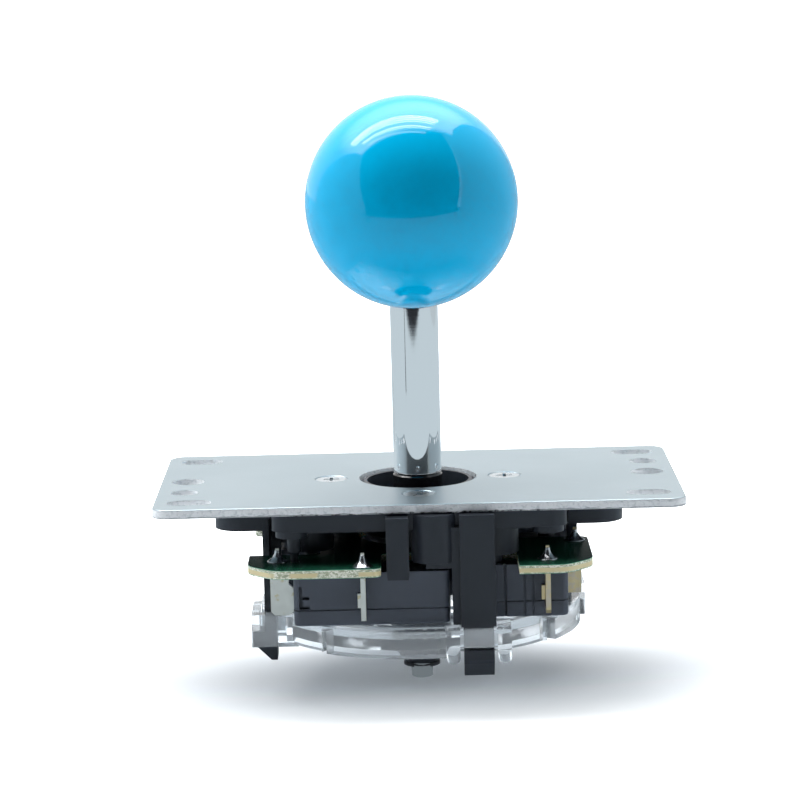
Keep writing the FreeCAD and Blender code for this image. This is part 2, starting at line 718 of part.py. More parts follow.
def board_mouth_round():
    """What rounds the board's corner beside the notch's mouth."""
    r = NOTCH_R
    x, y = NOTCH_X0 - r, -BOARD_HALF + r
    corner = block(x, NOTCH_X0 + 1, -BOARD_HALF - 1, y, BOARD_BOTTOM_Z - 1, BOARD_TOP_Z + 1)
    return corner.cut(rod(r, BOARD_BOTTOM_Z - 2, BOARD_TOP_Z + 2, x, y))


def circuit_board():
    body = board_outline()
    low = BOARD_BOTTOM_Z - 1
    high = BOARD_TOP_Z + 1
    cuts = [rod(BOARD_BORE_R, low, high)]
    for x, y in (COM_PIN_XY, NO_PIN_XY):
        cuts += all_round(rod(PIN_HOLE_R, low, high, x, y))
    for x, y in switch_holes():
        cuts += all_round(rod(SWITCH_PEG_R + 0.3, low, high, x, y))
    for s in (-1, 1):
        cuts.append(rod(0.85, low, high, s * PEG_XY[0], s * PEG_XY[1]))
    return body.cut(cuts)


def switch_holes():
    return (OUTER_HOLE, INNER_HOLE)


def switch_block(z0, z1, inset=0.0):
    """Case outline with softened corners."""
    x = (SWITCH_X0 + SWITCH_X1) / 2
    y = (SWITCH_Y0 + SWITCH_Y1) / 2
    return slab(SWITCH_LENGTH / 2 - inset, SWITCH_DEPTH / 2 - inset, SWITCH_CORNER - inset, z0, z1, x, y)


def plunger_slot(gap):
    half = PLUNGER_HALF + gap
    return block(-half, half, SWITCH_Y1 - 2, SWITCH_Y1 + 1, PLUNGER_MID_Z - half, PLUNGER_MID_Z + half)


def end_grooves(z0, z1):
    """Upright grooves in the end face, through case and cover alike."""
    cuts = []
    for place, width, depth in END_GROOVES:
        y = SWITCH_Y0 + place
        cuts.append(block(SWITCH_X0 - 1, SWITCH_X0 + depth, y - width / 2, y + width / 2, z0, z1))
    return cuts


def latch_marks():
    """Gaps round the small latch on the case's outer face."""
    x = SWITCH_X0 + LATCH_INSET
    y = SWITCH_Y0 + LATCH_DEPTH
    gap = LATCH_GAP
    return [
        block(x, x + gap, SWITCH_Y0 - 1, y, SEAM_Z - 1, SEAM_Z + 7 * gap),
        block(x + gap, x + 3 * gap, SWITCH_Y0 - 1, y, SEAM_Z + 3 * gap, SEAM_Z + 4 * gap),
        block(x, x + 3.2 * gap, SWITCH_Y0 - 1, y, SEAM_Z - 1, SEAM_Z + gap),
    ]


def switch_case():
    """Upper part of the switch: walls, two bored posts, latch gaps and grooves."""
    body = switch_block(SEAM_Z, BOARD_BOTTOM_Z)
    wall = SWITCH_WALL
    hollow = block(SWITCH_X0 + wall, SWITCH_X1 - wall, SWITCH_Y0 + wall, SWITCH_Y1 - wall,
                   SEAM_Z - 1, BOARD_BOTTOM_Z - 1.3)
    body = body.cut(hollow)
    posts = [rod(SWITCH_HOLE_R + 1.0, SEAM_Z, BOARD_BOTTOM_Z - 0.5, x, y) for x, y in switch_holes()]
    posts = [post.common(switch_block(SEAM_Z, BOARD_BOTTOM_Z)) for post in posts]
    body = join([body] + posts)
    cuts = [rod(SWITCH_HOLE_R, SEAM_Z - 1, BOARD_BOTTOM_Z + 1, x, y) for x, y in switch_holes()]
    cuts += [plunger_slot(PLUNGER_GAP), com_strip(0.04), no_strip(0.04)]
    cuts += latch_marks() + end_grooves(SEAM_Z - 1, BOARD_BOTTOM_Z + 1)
    return body.cut(cuts)


def switch_cover():
    """Lower part of the switch, with a shallow hollow and a rim line."""
    outer = switch_block(SWITCH_BOTTOM_Z, SEAM_Z)
    outer = outer.makeFillet(0.5, [e for e in outer.Edges if e.BoundBox.ZMax < SWITCH_BOTTOM_Z + 1e-6])
    line = switch_block(SEAM_Z - 0.3, SEAM_Z + 1).cut(switch_block(SEAM_Z - 0.3, SEAM_Z, 0.25))
    body = outer.cut(line)
    wall = SWITCH_WALL + 0.5
    hollow = block(SWITCH_X0 + wall, SWITCH_X1 - wall, SWITCH_Y0 + wall, SWITCH_Y1 - wall,
                   SWITCH_BOTTOM_Z + 1.1, SEAM_Z + 1)
    posts = [rod(SWITCH_HOLE_R + 1.2, SWITCH_BOTTOM_Z, SEAM_Z, x, y) for x, y in switch_holes()]
    posts = [post.common(outer) for post in posts]
    body = join([body.cut(hollow)] + posts)
    cuts = [rod(SWITCH_HOLE_R, SWITCH_BOTTOM_Z - 1, SEAM_Z + 1, x, y) for x, y in switch_holes()]
    return body.cut(cuts + end_grooves(SWITCH_BOTTOM_Z - 1, SEAM_Z + 1))


def switch_plunger():
    """Button with a rounded nose and a flange that stays inside the case."""
    half = PLUNGER_HALF
    z0 = PLUNGER_MID_Z - half
    z1 = PLUNGER_MID_Z + half
    stem = block(-half, half, PLUNGER_END_Y, PLUNGER_TIP_Y, z0, z1)
    nose = [e for e in stem.Edges if e.BoundBox.YMin > PLUNGER_TIP_Y - 1e-6]
    stem = stem.makeFillet(0.6, nose)
    flange_y = SWITCH_Y1 - SWITCH_WALL - 1.1
    wide = block(-half - 0.6, half + 0.6, flange_y - 0.9, flange_y, z0, z1)
    return join([stem, wide])


def com_strip(gap):
    """Common terminal's bar through the case's end wall."""
    y = COM_PIN_XY[1]
    t = TERMINAL_THICK / 2 + gap
    return block(SWITCH_X0 - 0.6, SWITCH_X0 + 5.2, y - t, y + t, STRIP_Z[0] - gap, STRIP_Z[1] + gap)


def no_strip(gap):
    """Normally open terminal's bar through the outer wall."""
    x = NO_PIN_XY[0]
    t = TERMINAL_THICK / 2 + gap
    return block(x - t, x + t, SWITCH_Y0 - 0.6, SWITCH_Y0 + 5.3, STRIP_Z[0] - gap, STRIP_Z[1] + gap)


def terminal_plate():
    """Plate outside the case's end with a cut corner."""
    x, y = COM_PIN_XY
    t = TERMINAL_THICK / 2
    face = SWITCH_X0 - 0.02
    inner = SWITCH_X0 - 0.9
    foot = SWITCH_BOTTOM_Z + 1.4
    top = BOARD_BOTTOM_Z - 0.05
    return front_prism([
        (face, foot + 0.7),
        (inner, foot),
        (x - 0.7, foot),
        (x - 1.4, foot + 0.7),
        (x - 1.4, top - 0.45),
        (x - 0.9, top),
        (inner, top),
        (inner, top - 2.45),
        (face, top - 3.25),
    ], y - t, y + t)


def outer_tab():
    """Plate outside the case's front that carries the normally open pin."""
    x, y = NO_PIN_XY
    t = TERMINAL_THICK / 2
    face = SWITCH_Y0 - 0.02
    inner = SWITCH_Y0 - 0.5
    foot = SWITCH_BOTTOM_Z + 1.5
    top = BOARD_BOTTOM_Z - 0.05
    return side_prism([
        (face, SEAM_Z + 3.0),
        (face, SEAM_Z),
        (inner, SEAM_Z - 0.4),
        (inner, foot),
        (y - 1.1, foot),
        (y - 1.1, top - 0.35),
        (y - 0.8, top),
        (inner, top),
        (inner, SEAM_Z + 3.0),
    ], x - t, x + t)


def terminal_pin(x, y):
    half = PIN_HALF
    return block(x - half, x + half, y - half, y + half, BOARD_BOTTOM_Z - 1, PIN_TOP_Z)


def switch_terminals():
    """Common terminal with its spring strip, and the normally open one."""
    y = COM_PIN_XY[1]
    turn = SWITCH_X0 + 4.4
    strip_y = SWITCH_Y1 - 5.6
    x = NO_PIN_XY[0]
    low, high = STRIP_Z[0] + 0.3, STRIP_Z[1] - 0.1
    com = [
        terminal_plate(),
        com_strip(0),
        block(turn, turn + 0.8, y, strip_y, *STRIP_Z),
        block(turn, PLUNGER_HALF + 0.5, strip_y - 0.15, strip_y + 0.15, *STRIP_Z),
        block(x - 1.3, x + 1.3, strip_y - 1.15, strip_y - 0.1, low, high),
        terminal_pin(*COM_PIN_XY),
    ]
    inner = SWITCH_Y0 + 5.3
    side = TERMINAL_THICK / 2 + 0.6
    com.append(block(SWITCH_X0 - 0.9, SWITCH_X0 - 0.02, y, y + side, *STRIP_Z))
    opened = [
        outer_tab(),
        no_strip(0),
        block(x - side, x, SWITCH_Y0 - 0.5, SWITCH_Y0 - 0.02, *STRIP_Z),
        block(x - 1.3, x + 1.3, inner, inner + 1.0, low, high),
        terminal_pin(*NO_PIN_XY),
    ]
    return Part.makeCompound([join(com), join(opened)])


def solder_cone(x, y):
    """Concave fillet of solder round a pin."""
    rise = CONE_TOP_Z - BOARD_TOP_Z
    shares = ((1.0, 0), (0.82, 0.1), (0.62, 0.3), (0.48, 0.6), (0.40, 0.9), (0.32, 1.0))
    side = [(CONE_R * wide, BOARD_TOP_Z + rise * high) for wide, high in shares]
    body = turned([(0, BOARD_TOP_Z)] + side + [(0, CONE_TOP_Z)])
    body.translate(Vector(x, y, 0))
    pin = block(x - PIN_HALF, x + PIN_HALF, y - PIN_HALF, y + PIN_HALF, BOARD_TOP_Z - 1, CONE_TOP_Z + 1)
    return body.cut(pin)


def solder_joints():
    found = []
    for x, y in (COM_PIN_XY, NO_PIN_XY):
        found += all_round(solder_cone(x, y))
    return Part.makeCompound(found)


def connector_housing():
    """Side entry header, open to the rear, with key slots in its roof."""
    z1 = BOARD_TOP_Z + PLUG_HEIGHT
    body = block(PLUG_X - PLUG_HALF, PLUG_X + PLUG_HALF, PLUG_Y0, PLUG_Y1, BOARD_TOP_Z, z1)
    w = PLUG_WALL
    cuts = [block(PLUG_X - PLUG_HALF + w, PLUG_X + PLUG_HALF - w, PLUG_Y0 + 1.4, PLUG_Y1 + 1,
                  BOARD_TOP_Z + w, z1 - w)]
    for s in (-1, 1):
        cuts.append(block(PLUG_X + s * 3.0 - 0.6, PLUG_X + s * 3.0 + 0.6, PLUG_Y0 + 2.4, PLUG_Y1 + 1,
                          z1 - w - 1, z1 + 1))
    half = PLUG_PIN_HALF
    z = pin_height()
    for x in pin_rows():
        cuts.append(block(x - half, x + half, PLUG_Y0 - 1, PLUG_Y0 + 2, z - half, z + half))
    return body.cut(cuts)


def pin_height():
    return BOARD_TOP_Z + PLUG_HEIGHT / 2


def pin_rows():
    first = PLUG_X - PLUG_PITCH * (PLUG_PINS - 1) / 2
    return [first + PLUG_PITCH * n for n in range(PLUG_PINS)]


def connector_pins():
    """Square pins bent down to feet on the board."""
    found = []
    z = pin_height()
    half = PLUG_PIN_HALF
    back = PLUG_Y0 - 0.1
    for x in pin_rows():
        straight = block(x - half, x + half, back - 0.4, PLUG_Y1 - 1.0, z - half, z + half)
        drop = block(x - half, x + half, back - 0.4, back, BOARD_TOP_Z + 0.1, z + half)
        foot = block(x - half, x + half, back - 0.8, back, BOARD_TOP_Z, BOARD_TOP_Z + 0.4)
        found.append(join([straight, drop, foot]))
    return Part.makeCompound(found)


def gate_opening_half():
    """Half the square's side: the tube meets it at the tilt limit."""
    depth = PIVOT_Z - GATE_BOSS_BOTTOM_Z
    return TUBE_R / math.cos(TILT_LIMIT) + depth * math.tan(TILT_LIMIT) + GATE_STOP_GAP


def gate_disc():
    """Rim, web and centre boss."""
    web_low = GATE_WEB_TOP_Z - GATE_WEB_THICK
    inner = GATE_R - GATE_WALL
    return turned([
        (0, GATE_BOSS_TOP_Z),
        (GATE_BOSS_R - 0.8, GATE_BOSS_TOP_Z),
        (GATE_BOSS_R, GATE_WEB_TOP_Z),
        (inner, GATE_WEB_TOP_Z),
        (inner, GATE_TOP_Z),
        (GATE_R, GATE_TOP_Z),
        (GATE_R, GATE_BOTTOM_Z),
        (inner, GATE_BOTTOM_Z),
        (inner, web_low),
        (GATE_BOSS_R, web_low),
        (GATE_BOSS_R - 0.5, GATE_BOSS_BOTTOM_Z),
        (0, GATE_BOSS_BOTTOM_Z),
    ])


def gate_pod():
    """Wider wall between a corner slot and the next loop."""
    body = ring(GATE_POD_R, GATE_POD_R - GATE_WALL, GATE_BOTTOM_Z, GATE_TOP_Z)
    web_low = GATE_WEB_TOP_Z - GATE_WEB_THICK
    floor = ring(GATE_POD_R - 1, GATE_R - GATE_WALL, web_low, GATE_WEB_TOP_Z)
    ends = block(-POD_X, LOOP_X0 + 1, -FAR, -GATE_R / 2, GATE_BOTTOM_Z - 1, GATE_TOP_Z + 1)
    return join([body, floor]).common(ends)


def gate_loop():
    """Loop that a latch leg hooks under: two posts, a bar and an inner wall."""
    out = LOOP_OUT_Y
    inner = LOOP_INNER_Y
    posts = []
    for x0 in (LOOP_X0, LOOP_X1 - LOOP_POST):
        post = block(x0, x0 + LOOP_POST, out, inner + GATE_WALL, LOOP_FOOT_Z, LOOP_TOP_Z)
        low = [e for e in post.Edges if e.BoundBox.ZMax < LOOP_FOOT_Z + 1e-6
               and abs(e.BoundBox.XMin - e.BoundBox.XMax) < 1e-6]
        posts.append(post.makeFillet(1.1, low))
    bar = block(LOOP_X0 + 1, LOOP_X1 - 1, out, out + LOOP_BAR, LOOP_BAR_FOOT_Z, LOOP_TOP_Z - 0.1)
    wall = block(LOOP_X0 + 1, LOOP_X1 - 1, inner, inner + GATE_WALL, GATE_BOTTOM_Z, GATE_TOP_Z)
    return join(posts + [bar, wall])


def gate_ribs():
    """Two blocks behind the pod's wall with a narrow gap between them."""
    face = GATE_WALL - GATE_POD_R
    found = []
    for side in (-1, 1):
        near = RIB_MID + side * RIB_GAP / 2
        far = near + side * RIB_WIDTH
        rib = block(near, far, face - 0.6, face + 2.2, GATE_BOTTOM_Z, GATE_WEB_TOP_Z + 0.9)
        middle = (near + far) / 2
        groove = block(middle - 0.3, middle + 0.3, face + 1.6, face + 3, GATE_BOTTOM_Z - 1, GATE_TOP_Z)
        found.append(rib.cut(groove))
    return found


def leg_opening():
    """Space behind a loop's bar for the latch leg."""
    return block(LOOP_X0 + LOOP_POST, LOOP_X1 - LOOP_POST, -FAR, LOOP_INNER_Y,
                 GATE_BOTTOM_Z - 1, GATE_TOP_Z + 1)


def rim_slot():
    """Narrow upright slot at the pod's end."""
    half = RIM_SLOT_WIDTH / 2
    slot = block(-half, half, -FAR, GATE_WALL / 2 - GATE_R + 0.6, GATE_BOTTOM_Z - 1, GATE_TOP_Z - 0.8)
    slot.rotate(Vector(0, 0, 0), UP, -math.degrees(math.asin((POD_X - 1) / GATE_R)))
    return slot


def restrictor_gate():
    body = join([gate_disc()] + all_round(gate_pod()))
    body = body.cut(all_round(leg_opening()) + all_round(rim_slot()))
    parts = [body]
    for piece in [gate_loop()] + gate_ribs():
        parts += all_round(piece)
    body = join(parts)
    half = gate_opening_half()
    opening = slab(half, half, 1.0, GATE_BOTTOM_Z - 2, GATE_TOP_Z + 1)
    recess = rod(half * math.sqrt(2) + 0.35, GATE_BOSS_TOP_Z - 0.4, GATE_TOP_Z + 1)
    return body.cut([opening, recess])


def check_solid(name, shape):
    if not shape.isValid() or not shape.Solids:
        raise RuntimeError(name + " is not a valid solid")


def save(name, shape):
    check_solid(name, shape)
    shape.exportStep("parts/" + name + ".step")
    box = shape.BoundBox
    print(name, len(shape.Solids), "solids", len(shape.Faces), "faces",
          round(box.ZMin, 2), round(box.ZMax, 2))


def main():
    os.makedirs("parts", exist_ok=True)
    save("mounting_plate", mounting_plate())
    save("plate_screws", plate_screws())
    save("housing", housing())
    save("pivot", pivot())
    save("shaft", shaft())
    save("ball_top", ball_top())
    save("ball_insert", ball_insert())
    save("upper_spring_seat", upper_spring_seat())
    save("return_spring", return_spring())
    save("lower_spring_seat", lower_spring_seat())
    save("actuator", actuator())
    save("e_ring", e_ring())
    save("circuit_board", circuit_board())
    save("solder_joints", solder_joints())
    save("connector_housing", connector_housing())
    save("connector_pins", connector_pins())
    save("restrictor_gate", restrictor_gate())
    kinds = {
        "case": switch_case(),
        "cover": switch_cover(),
        "plunger": switch_plunger(),
        "terminals": switch_terminals(),
    }
    for n, side in enumerate(SIDES):
        for kind, shape in kinds.items():
            save("switch_" + kind + "_" + side, quarter(shape, n))


main()
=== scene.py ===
import bpy, bmesh, math
from mathutils import Matrix, Vector


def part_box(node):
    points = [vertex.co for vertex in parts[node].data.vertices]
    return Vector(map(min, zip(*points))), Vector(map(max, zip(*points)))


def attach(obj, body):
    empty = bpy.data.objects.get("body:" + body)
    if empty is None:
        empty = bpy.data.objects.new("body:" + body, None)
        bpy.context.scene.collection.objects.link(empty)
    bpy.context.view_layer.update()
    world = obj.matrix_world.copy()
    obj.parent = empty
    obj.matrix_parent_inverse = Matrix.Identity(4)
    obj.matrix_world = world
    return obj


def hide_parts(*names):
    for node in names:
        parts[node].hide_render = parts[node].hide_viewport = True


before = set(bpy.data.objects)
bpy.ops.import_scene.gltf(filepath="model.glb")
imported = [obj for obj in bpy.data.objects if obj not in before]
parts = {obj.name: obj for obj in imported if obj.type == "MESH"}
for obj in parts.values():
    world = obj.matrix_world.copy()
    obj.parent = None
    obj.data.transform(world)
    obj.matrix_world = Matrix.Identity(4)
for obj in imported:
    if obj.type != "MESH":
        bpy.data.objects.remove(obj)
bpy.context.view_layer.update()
scene = bpy.context.scene
scene.view_settings.view_transform = "Standard"
mm = 0.001
print("frame loaded,", len(parts), "nodes")

cameraSetup = {
    "target": (-2.95, 0.0, 14.44),  # mm
    "distance": 573.3,
    "azimuth": 0.08,  # degrees
    "elevation": 9.34,
    "roll": -1.40,
    "lens": 139.88,
    "sensor": 36.0,
}


def makeCamera(setup):
    az, el, roll = (math.radians(setup[k]) for k in ("azimuth", "elevation", "roll"))
    look = Vector((-math.sin(az) * math.cos(el), math.cos(az) * math.cos(el), -math.sin(el)))
    right = look.cross(Vector((0, 0, 1))).normalized()
    up = right.cross(look)
    side = math.cos(roll) * right + math.sin(roll) * up
    top = -math.sin(roll) * right + math.cos(roll) * up
    place = (Vector(setup["target"]) - setup["distance"] * look) * mm
    turn = Matrix((side, top, -look)).transposed()
    data = bpy.data.cameras.new("photoCamera")
    data.lens, data.sensor_width = setup["lens"], setup["sensor"]
    data.clip_start, data.clip_end = 0.01, 100
    camera = bpy.data.objects.new("photoCamera", data)
    scene.collection.objects.link(camera)
    camera.matrix_world = Matrix.Translation(place) @ turn.to_4x4()
    scene.camera = camera


makeCamera(cameraSetup)
print("camera set")


# small helpers for building node trees
def setSockets(target, values):
    for name, value in values.items():
        socket = target.inputs[name]
        if isinstance(value, bpy.types.NodeSocket):
            target.id_data.links.new(value, socket)
        elif socket.type == "RGBA" and len(value) == 3:
            socket.default_value = (*value, 1)
        else:
            socket.default_value = value
    return target


def addNode(tree, kind, values=None, **settings):
    made = tree.nodes.new("ShaderNode" + kind)
    for name, value in settings.items():
        setattr(made, name, value)
    return setSockets(made, values or {})


def calc(tree, operation, a, b=0.0, clamp=False):
    return addNode(tree, "Math", {0: a, 1: b}, operation=operation, use_clamp=clamp).outputs[0]


def mixColour(tree, factor, a, b, blend="MIX"):
    made = addNode(tree, "Mix", data_type="RGBA", blend_type=blend)
    setSockets(made, {0: factor, 6: a, 7: b})
    return made.outputs[2]


def fade(tree, value, low, high, start=0.0, end=1.0):  # start below low, end above high, smooth between
    values = {"Value": value, "From Min": low, "From Max": high, "To Min": start, "To Max": end}
    return addNode(tree, "MapRange", values, interpolation_type="SMOOTHSTEP").outputs[0]


def hump(tree, value, low, lowFull, highFull, high):  # 0 outside, 1 in the middle, smooth between
    rise = fade(tree, value, low, lowFull)
    return calc(tree, "MULTIPLY", rise, fade(tree, value, highFull, high, 1.0, 0.0))


def between(tree, value, low, high, soft):  # the same with both borders equally soft
    return hump(tree, value, low - soft, low + soft, high - soft, high + soft)


def noise(tree, vector, scale, detail=2.0, roughness=0.5):
    values = {"Vector": vector, "Scale": scale, "Detail": detail, "Roughness": roughness}
    return addNode(tree, "TexNoise", values).outputs["Fac"]


def stretch(tree, vector, scale, move=(0, 0, 0)):
    return addNode(tree, "Mapping", {"Vector": vector, "Location": move, "Scale": scale}).outputs[0]


def vectorMath(tree, operation, a, b=(0, 0, 0)):
    return addNode(tree, "VectorMath", {0: a, 1: b}, operation=operation).outputs


def ragged(tree, value, spot, scale, reach, detail=2.0):  # a distance that wanders by half the reach, mm
    wander = calc(tree, "SUBTRACT", noise(tree, spot, scale, detail), 0.5)
    return calc(tree, "ADD", value, calc(tree, "MULTIPLY", wander, reach * mm))


def objectPlace(tree):
    return addNode(tree, "TexCoord").outputs["Object"]


def axes(tree, vector):
    return addNode(tree, "SeparateXYZ", {"Vector": vector}).outputs


def newGroup(name, inputs, output):
    group = bpy.data.node_groups.new(name, "ShaderNodeTree")
    for label, value in inputs.items():
        group.interface.new_socket(label, in_out="INPUT", socket_type="NodeSocketFloat").default_value = value
    group.interface.new_socket(output, in_out="OUTPUT", socket_type="NodeSocketFloat")
    return group, group.nodes.new("NodeGroupInput").outputs, group.nodes.new("NodeGroupOutput")


def place(tree, group, **values):  # one group in a material, with that material's own values
    made = tree.nodes.new("ShaderNodeGroup")
    made.node_tree = group
    setSockets(made, {name.replace("_", " "): value for name, value in values.items()})
    return made.outputs


# effects that several materials share
def makeGrain():  # fine height of a moulded or sanded skin, with a slower swell under it
    sizes = {"Grain Size": 0.15, "Swell Size": 4.0, "Swell Share": 0.4}  # mm, mm, share
    group, given, result = newGroup("mouldGrain", sizes, "Height")
    spot = objectPlace(group)
    fine = noise(group, spot, calc(group, "DIVIDE", 1000.0, given["Grain Size"]), 3.0, 0.6)
    slow = noise(group, spot, calc(group, "DIVIDE", 1000.0, given["Swell Size"]), 1.0)
    both = calc(group, "ADD", calc(group, "MULTIPLY", slow, given["Swell Share"]), fine)
    setSockets(result, {"Height": both})
    return group


def makeEdgeWearAndHighlight():  # 1 on sharp edges, broken up by noise; real wear on the strips, a painted highlight on the mouldings
    group, given, result = newGroup("edgeWearAndHighlight", {"Width": 0.12, "Broken": 0.5}, "Edge")
    rounded = addNode(group, "Bevel", {"Radius": calc(group, "MULTIPLY", given["Width"], mm)}, samples=4)
    flat = addNode(group, "NewGeometry").outputs["Normal"]
    facing = vectorMath(group, "DOT_PRODUCT", rounded.outputs[0], flat)["Value"]
    edge = fade(group, facing, 0.80, 0.995, 1.0, 0.0)
    patchy = noise(group, objectPlace(group), 900.0, 3.0)
    low, high = calc(group, "MULTIPLY", given["Broken"], 0.75), calc(group, "ADD", given["Broken"], 0.15)
    kept = fade(group, patchy, low, high)
    setSockets(result, {"Edge": calc(group, "MULTIPLY", edge, kept)})
    return group


def makeScratches():  # hair scratches that run along X, bent a little
    group, given, result = newGroup("hairScratches", {"Amount": 0.5, "Turn": 0.3}, "Scratch")
    spot = objectPlace(group)
    total = None
    for turn, seed in ((0.0, 0.0), (1.0, 3.1), (-1.6, 7.7)):
        angle = calc(group, "MULTIPLY", given["Turn"], turn)
        values = {"Vector": spot, "Angle": angle}
        turned = addNode(group, "VectorRotate", values, rotation_type="Z_AXIS").outputs[0]
        long = stretch(group, turned, (0.03, 1, 1), (seed, seed, 0))
        line = fade(group, noise(group, long, 2600.0, 2.0), 0.70, 0.76)
        here = stretch(group, turned, (1, 1, 1), (0, seed, 0))
        line = calc(group, "MULTIPLY", line, fade(group, noise(group, here, 120.0), 0.52, 0.66))
        total = line if total is None else calc(group, "MAXIMUM", total, line)
    setSockets(result, {"Scratch": calc(group, "MULTIPLY", total, given["Amount"], clamp=True)})
    return group


def makeDust():  # sparse pale specks
    group, given, result = newGroup("dustSpecks", {"Spacing": 2.0, "Speck": 0.06}, "Dust")
    perMetre = calc(group, "DIVIDE", 1000.0, given["Spacing"])
    cells = addNode(group, "TexVoronoi", {"Vector": objectPlace(group), "Scale": perMetre})
    size = calc(group, "DIVIDE", given["Speck"], given["Spacing"])
    small = fade(group, cells.outputs["Distance"], calc(group, "MULTIPLY", size, 0.4), size, 1.0, 0.0)
    some = addNode(group, "SeparateColor", {"Color": cells.outputs["Color"]}).outputs[0]
    setSockets(result, {"Dust": calc(group, "MULTIPLY", small, fade(group, some, 0.55, 0.60))})
    return group


grain, edgeWearAndHighlight, scratches, dust = makeGrain(), makeEdgeWearAndHighlight(), makeScratches(), makeDust()
print("effect groups ready")


def newMaterial(name, **plain):
    material = bpy.data.materials.new(name)
    material.use_nodes = True
    tree = material.node_tree
    tree.nodes.clear()
    values = {key.replace("_", " "): value for key, value in plain.items()}
    surface = addNode(tree, "BsdfPrincipled", values)
    addNode(tree, "OutputMaterial", {"Surface": surface.outputs[0]})
    return material, tree, surface


def finish(surface, colour, roughness, normal):
    setSockets(surface, {"Base Color": colour, "Roughness": roughness, "Normal": normal})


def bump(tree, height, distance, strength=1.0, normal=None):  # distance in mm
    values = {"Height": height, "Distance": distance * mm, "Strength": strength}
    if normal is not None:
        values["Normal"] = normal
    return addNode(tree, "Bump", values).outputs[0]


def softEdge(tree, radius):  # mm; moulded and sheared edges catch the light
    return addNode(tree, "Bevel", {"Radius": radius * mm}, samples=4).outputs[0]


zincFinish = {
    "face": (0.375, 0.445, 0.48),
    "faceDark": (0.355, 0.425, 0.46),
    # band: the sheared edge's near-white, mostly matt tone; partly its own bare cut metal, partly a painted
    # reflection of the pale table in front
    "band": (0.95, 0.98, 1.0),
    "tear": (0.05, 0.053, 0.058),
    "tearPale": (0.50, 0.54, 0.57),
    "tearTop": -1.36,  # mm, where the torn part of the sheared edge starts
    "tearReach": 26.0,  # mm each way along the front, where the tear runs dark
    "tearWander": 0.8,  # mm
    "tearDepth": 12.0,  # times the grain's
    "tearShine": 0.20,
    "roughness": 0.34,
    "grainShine": 0.10,
    "grainDepth": 0.012,  # mm
    "sideDull": 0.90,  # how much less metallic the sheared edge is
    "scratches": 0.35,
    "scratched": (0.82, 0.85, 0.87),
    "softEdge": 0.14,  # mm
    "scales": {"cloud": 45.0, "torn": 1500.0, "wander": 500.0, "band": 1400.0, "grain": 3200.0},  # per metre
}


def plateZinc():
    f, scales = zincFinish, zincFinish["scales"]
    material, tree, surface = newMaterial("plateZinc")
    spot = objectPlace(tree)
    height = axes(tree, spot)[2]
    upright = axes(tree, addNode(tree, "NewGeometry").outputs["Normal"])[2]
    cloud = noise(tree, spot, scales["cloud"], 3.0)
    face = mixColour(tree, fade(tree, cloud, 0.35, 0.65), f["face"], f["faceDark"])
    scratch = place(tree, scratches, Amount=f["scratches"])["Scratch"]
    face = mixColour(tree, scratch, face, f["scratched"])
    side = fade(tree, calc(tree, "ABSOLUTE", upright), 0.35, 0.6, 1.0, 0.0)
    torn = noise(tree, stretch(tree, spot, (1, 1, 0.25)), scales["torn"], 4.0, 0.7)
    tornEdge = ragged(tree, height, spot, scales["wander"], f["tearWander"])
    low = fade(tree, tornEdge, (f["tearTop"] - 0.06) * mm, (f["tearTop"] + 0.06) * mm, 1.0, 0.0)
    low = calc(tree, "MULTIPLY", low, side)
    along = calc(tree, "ABSOLUTE", axes(tree, spot)[0])
    dark = fade(tree, along, (f["tearReach"] - 5) * mm, f["tearReach"] * mm, 1.0, 0.0)
    pits = calc(tree, "MULTIPLY", fade(tree, torn, 0.36, 0.55, 1.0, 0.25), dark)
    rough = mixColour(tree, pits, f["tearPale"], f["tear"])
    # the sheared edge's pale band: partly real cut metal, partly a painted reflection of the table carried by
    # a bright matt colour
    thin = fade(tree, noise(tree, spot, scales["band"], 3.0), 0.45, 0.8, 0.0, 0.5)
    band = mixColour(tree, thin, f["band"], face)
    colour = mixColour(tree, low, mixColour(tree, side, face, band), rough)
    fine = noise(tree, spot, scales["grain"], 2.0)
    shine = calc(tree, "ADD", calc(tree, "MULTIPLY", fine, f["grainShine"]), f["roughness"])
    shine = calc(tree, "ADD", shine, calc(tree, "MULTIPLY", low, f["tearShine"]))
    relief = calc(tree, "MULTIPLY", calc(tree, "MULTIPLY", torn, low), f["tearDepth"])
    relief = calc(tree, "ADD", fine, relief)
    finish(surface, colour, shine, bump(tree, relief, f["grainDepth"], 0.5, softEdge(tree, f["softEdge"])))
    metal = calc(tree, "SUBTRACT", 1.0, calc(tree, "MULTIPLY", side, f["sideDull"]))
    setSockets(surface, {"Metallic": metal})
    return material


mouldedFinish = {  # what all the mouldings share
    "specular": 0.36,
    "swellScale": 160.0,  # per metre
    "swellPaler": 1.35,
    "swellShine": 0.16,
    # edge keys below: the painted highlight on the mouldings' sharp edges
    "edgeWidth": 0.14,  # mm
    "edgeBroken": 0.35,
    "edgeShare": 0.55,
    "dust": (0.42, 0.42, 0.40),
    "dustSpacing": 1.6,  # mm
    "speck": 0.05,
    "softEdge": 0.12,
}


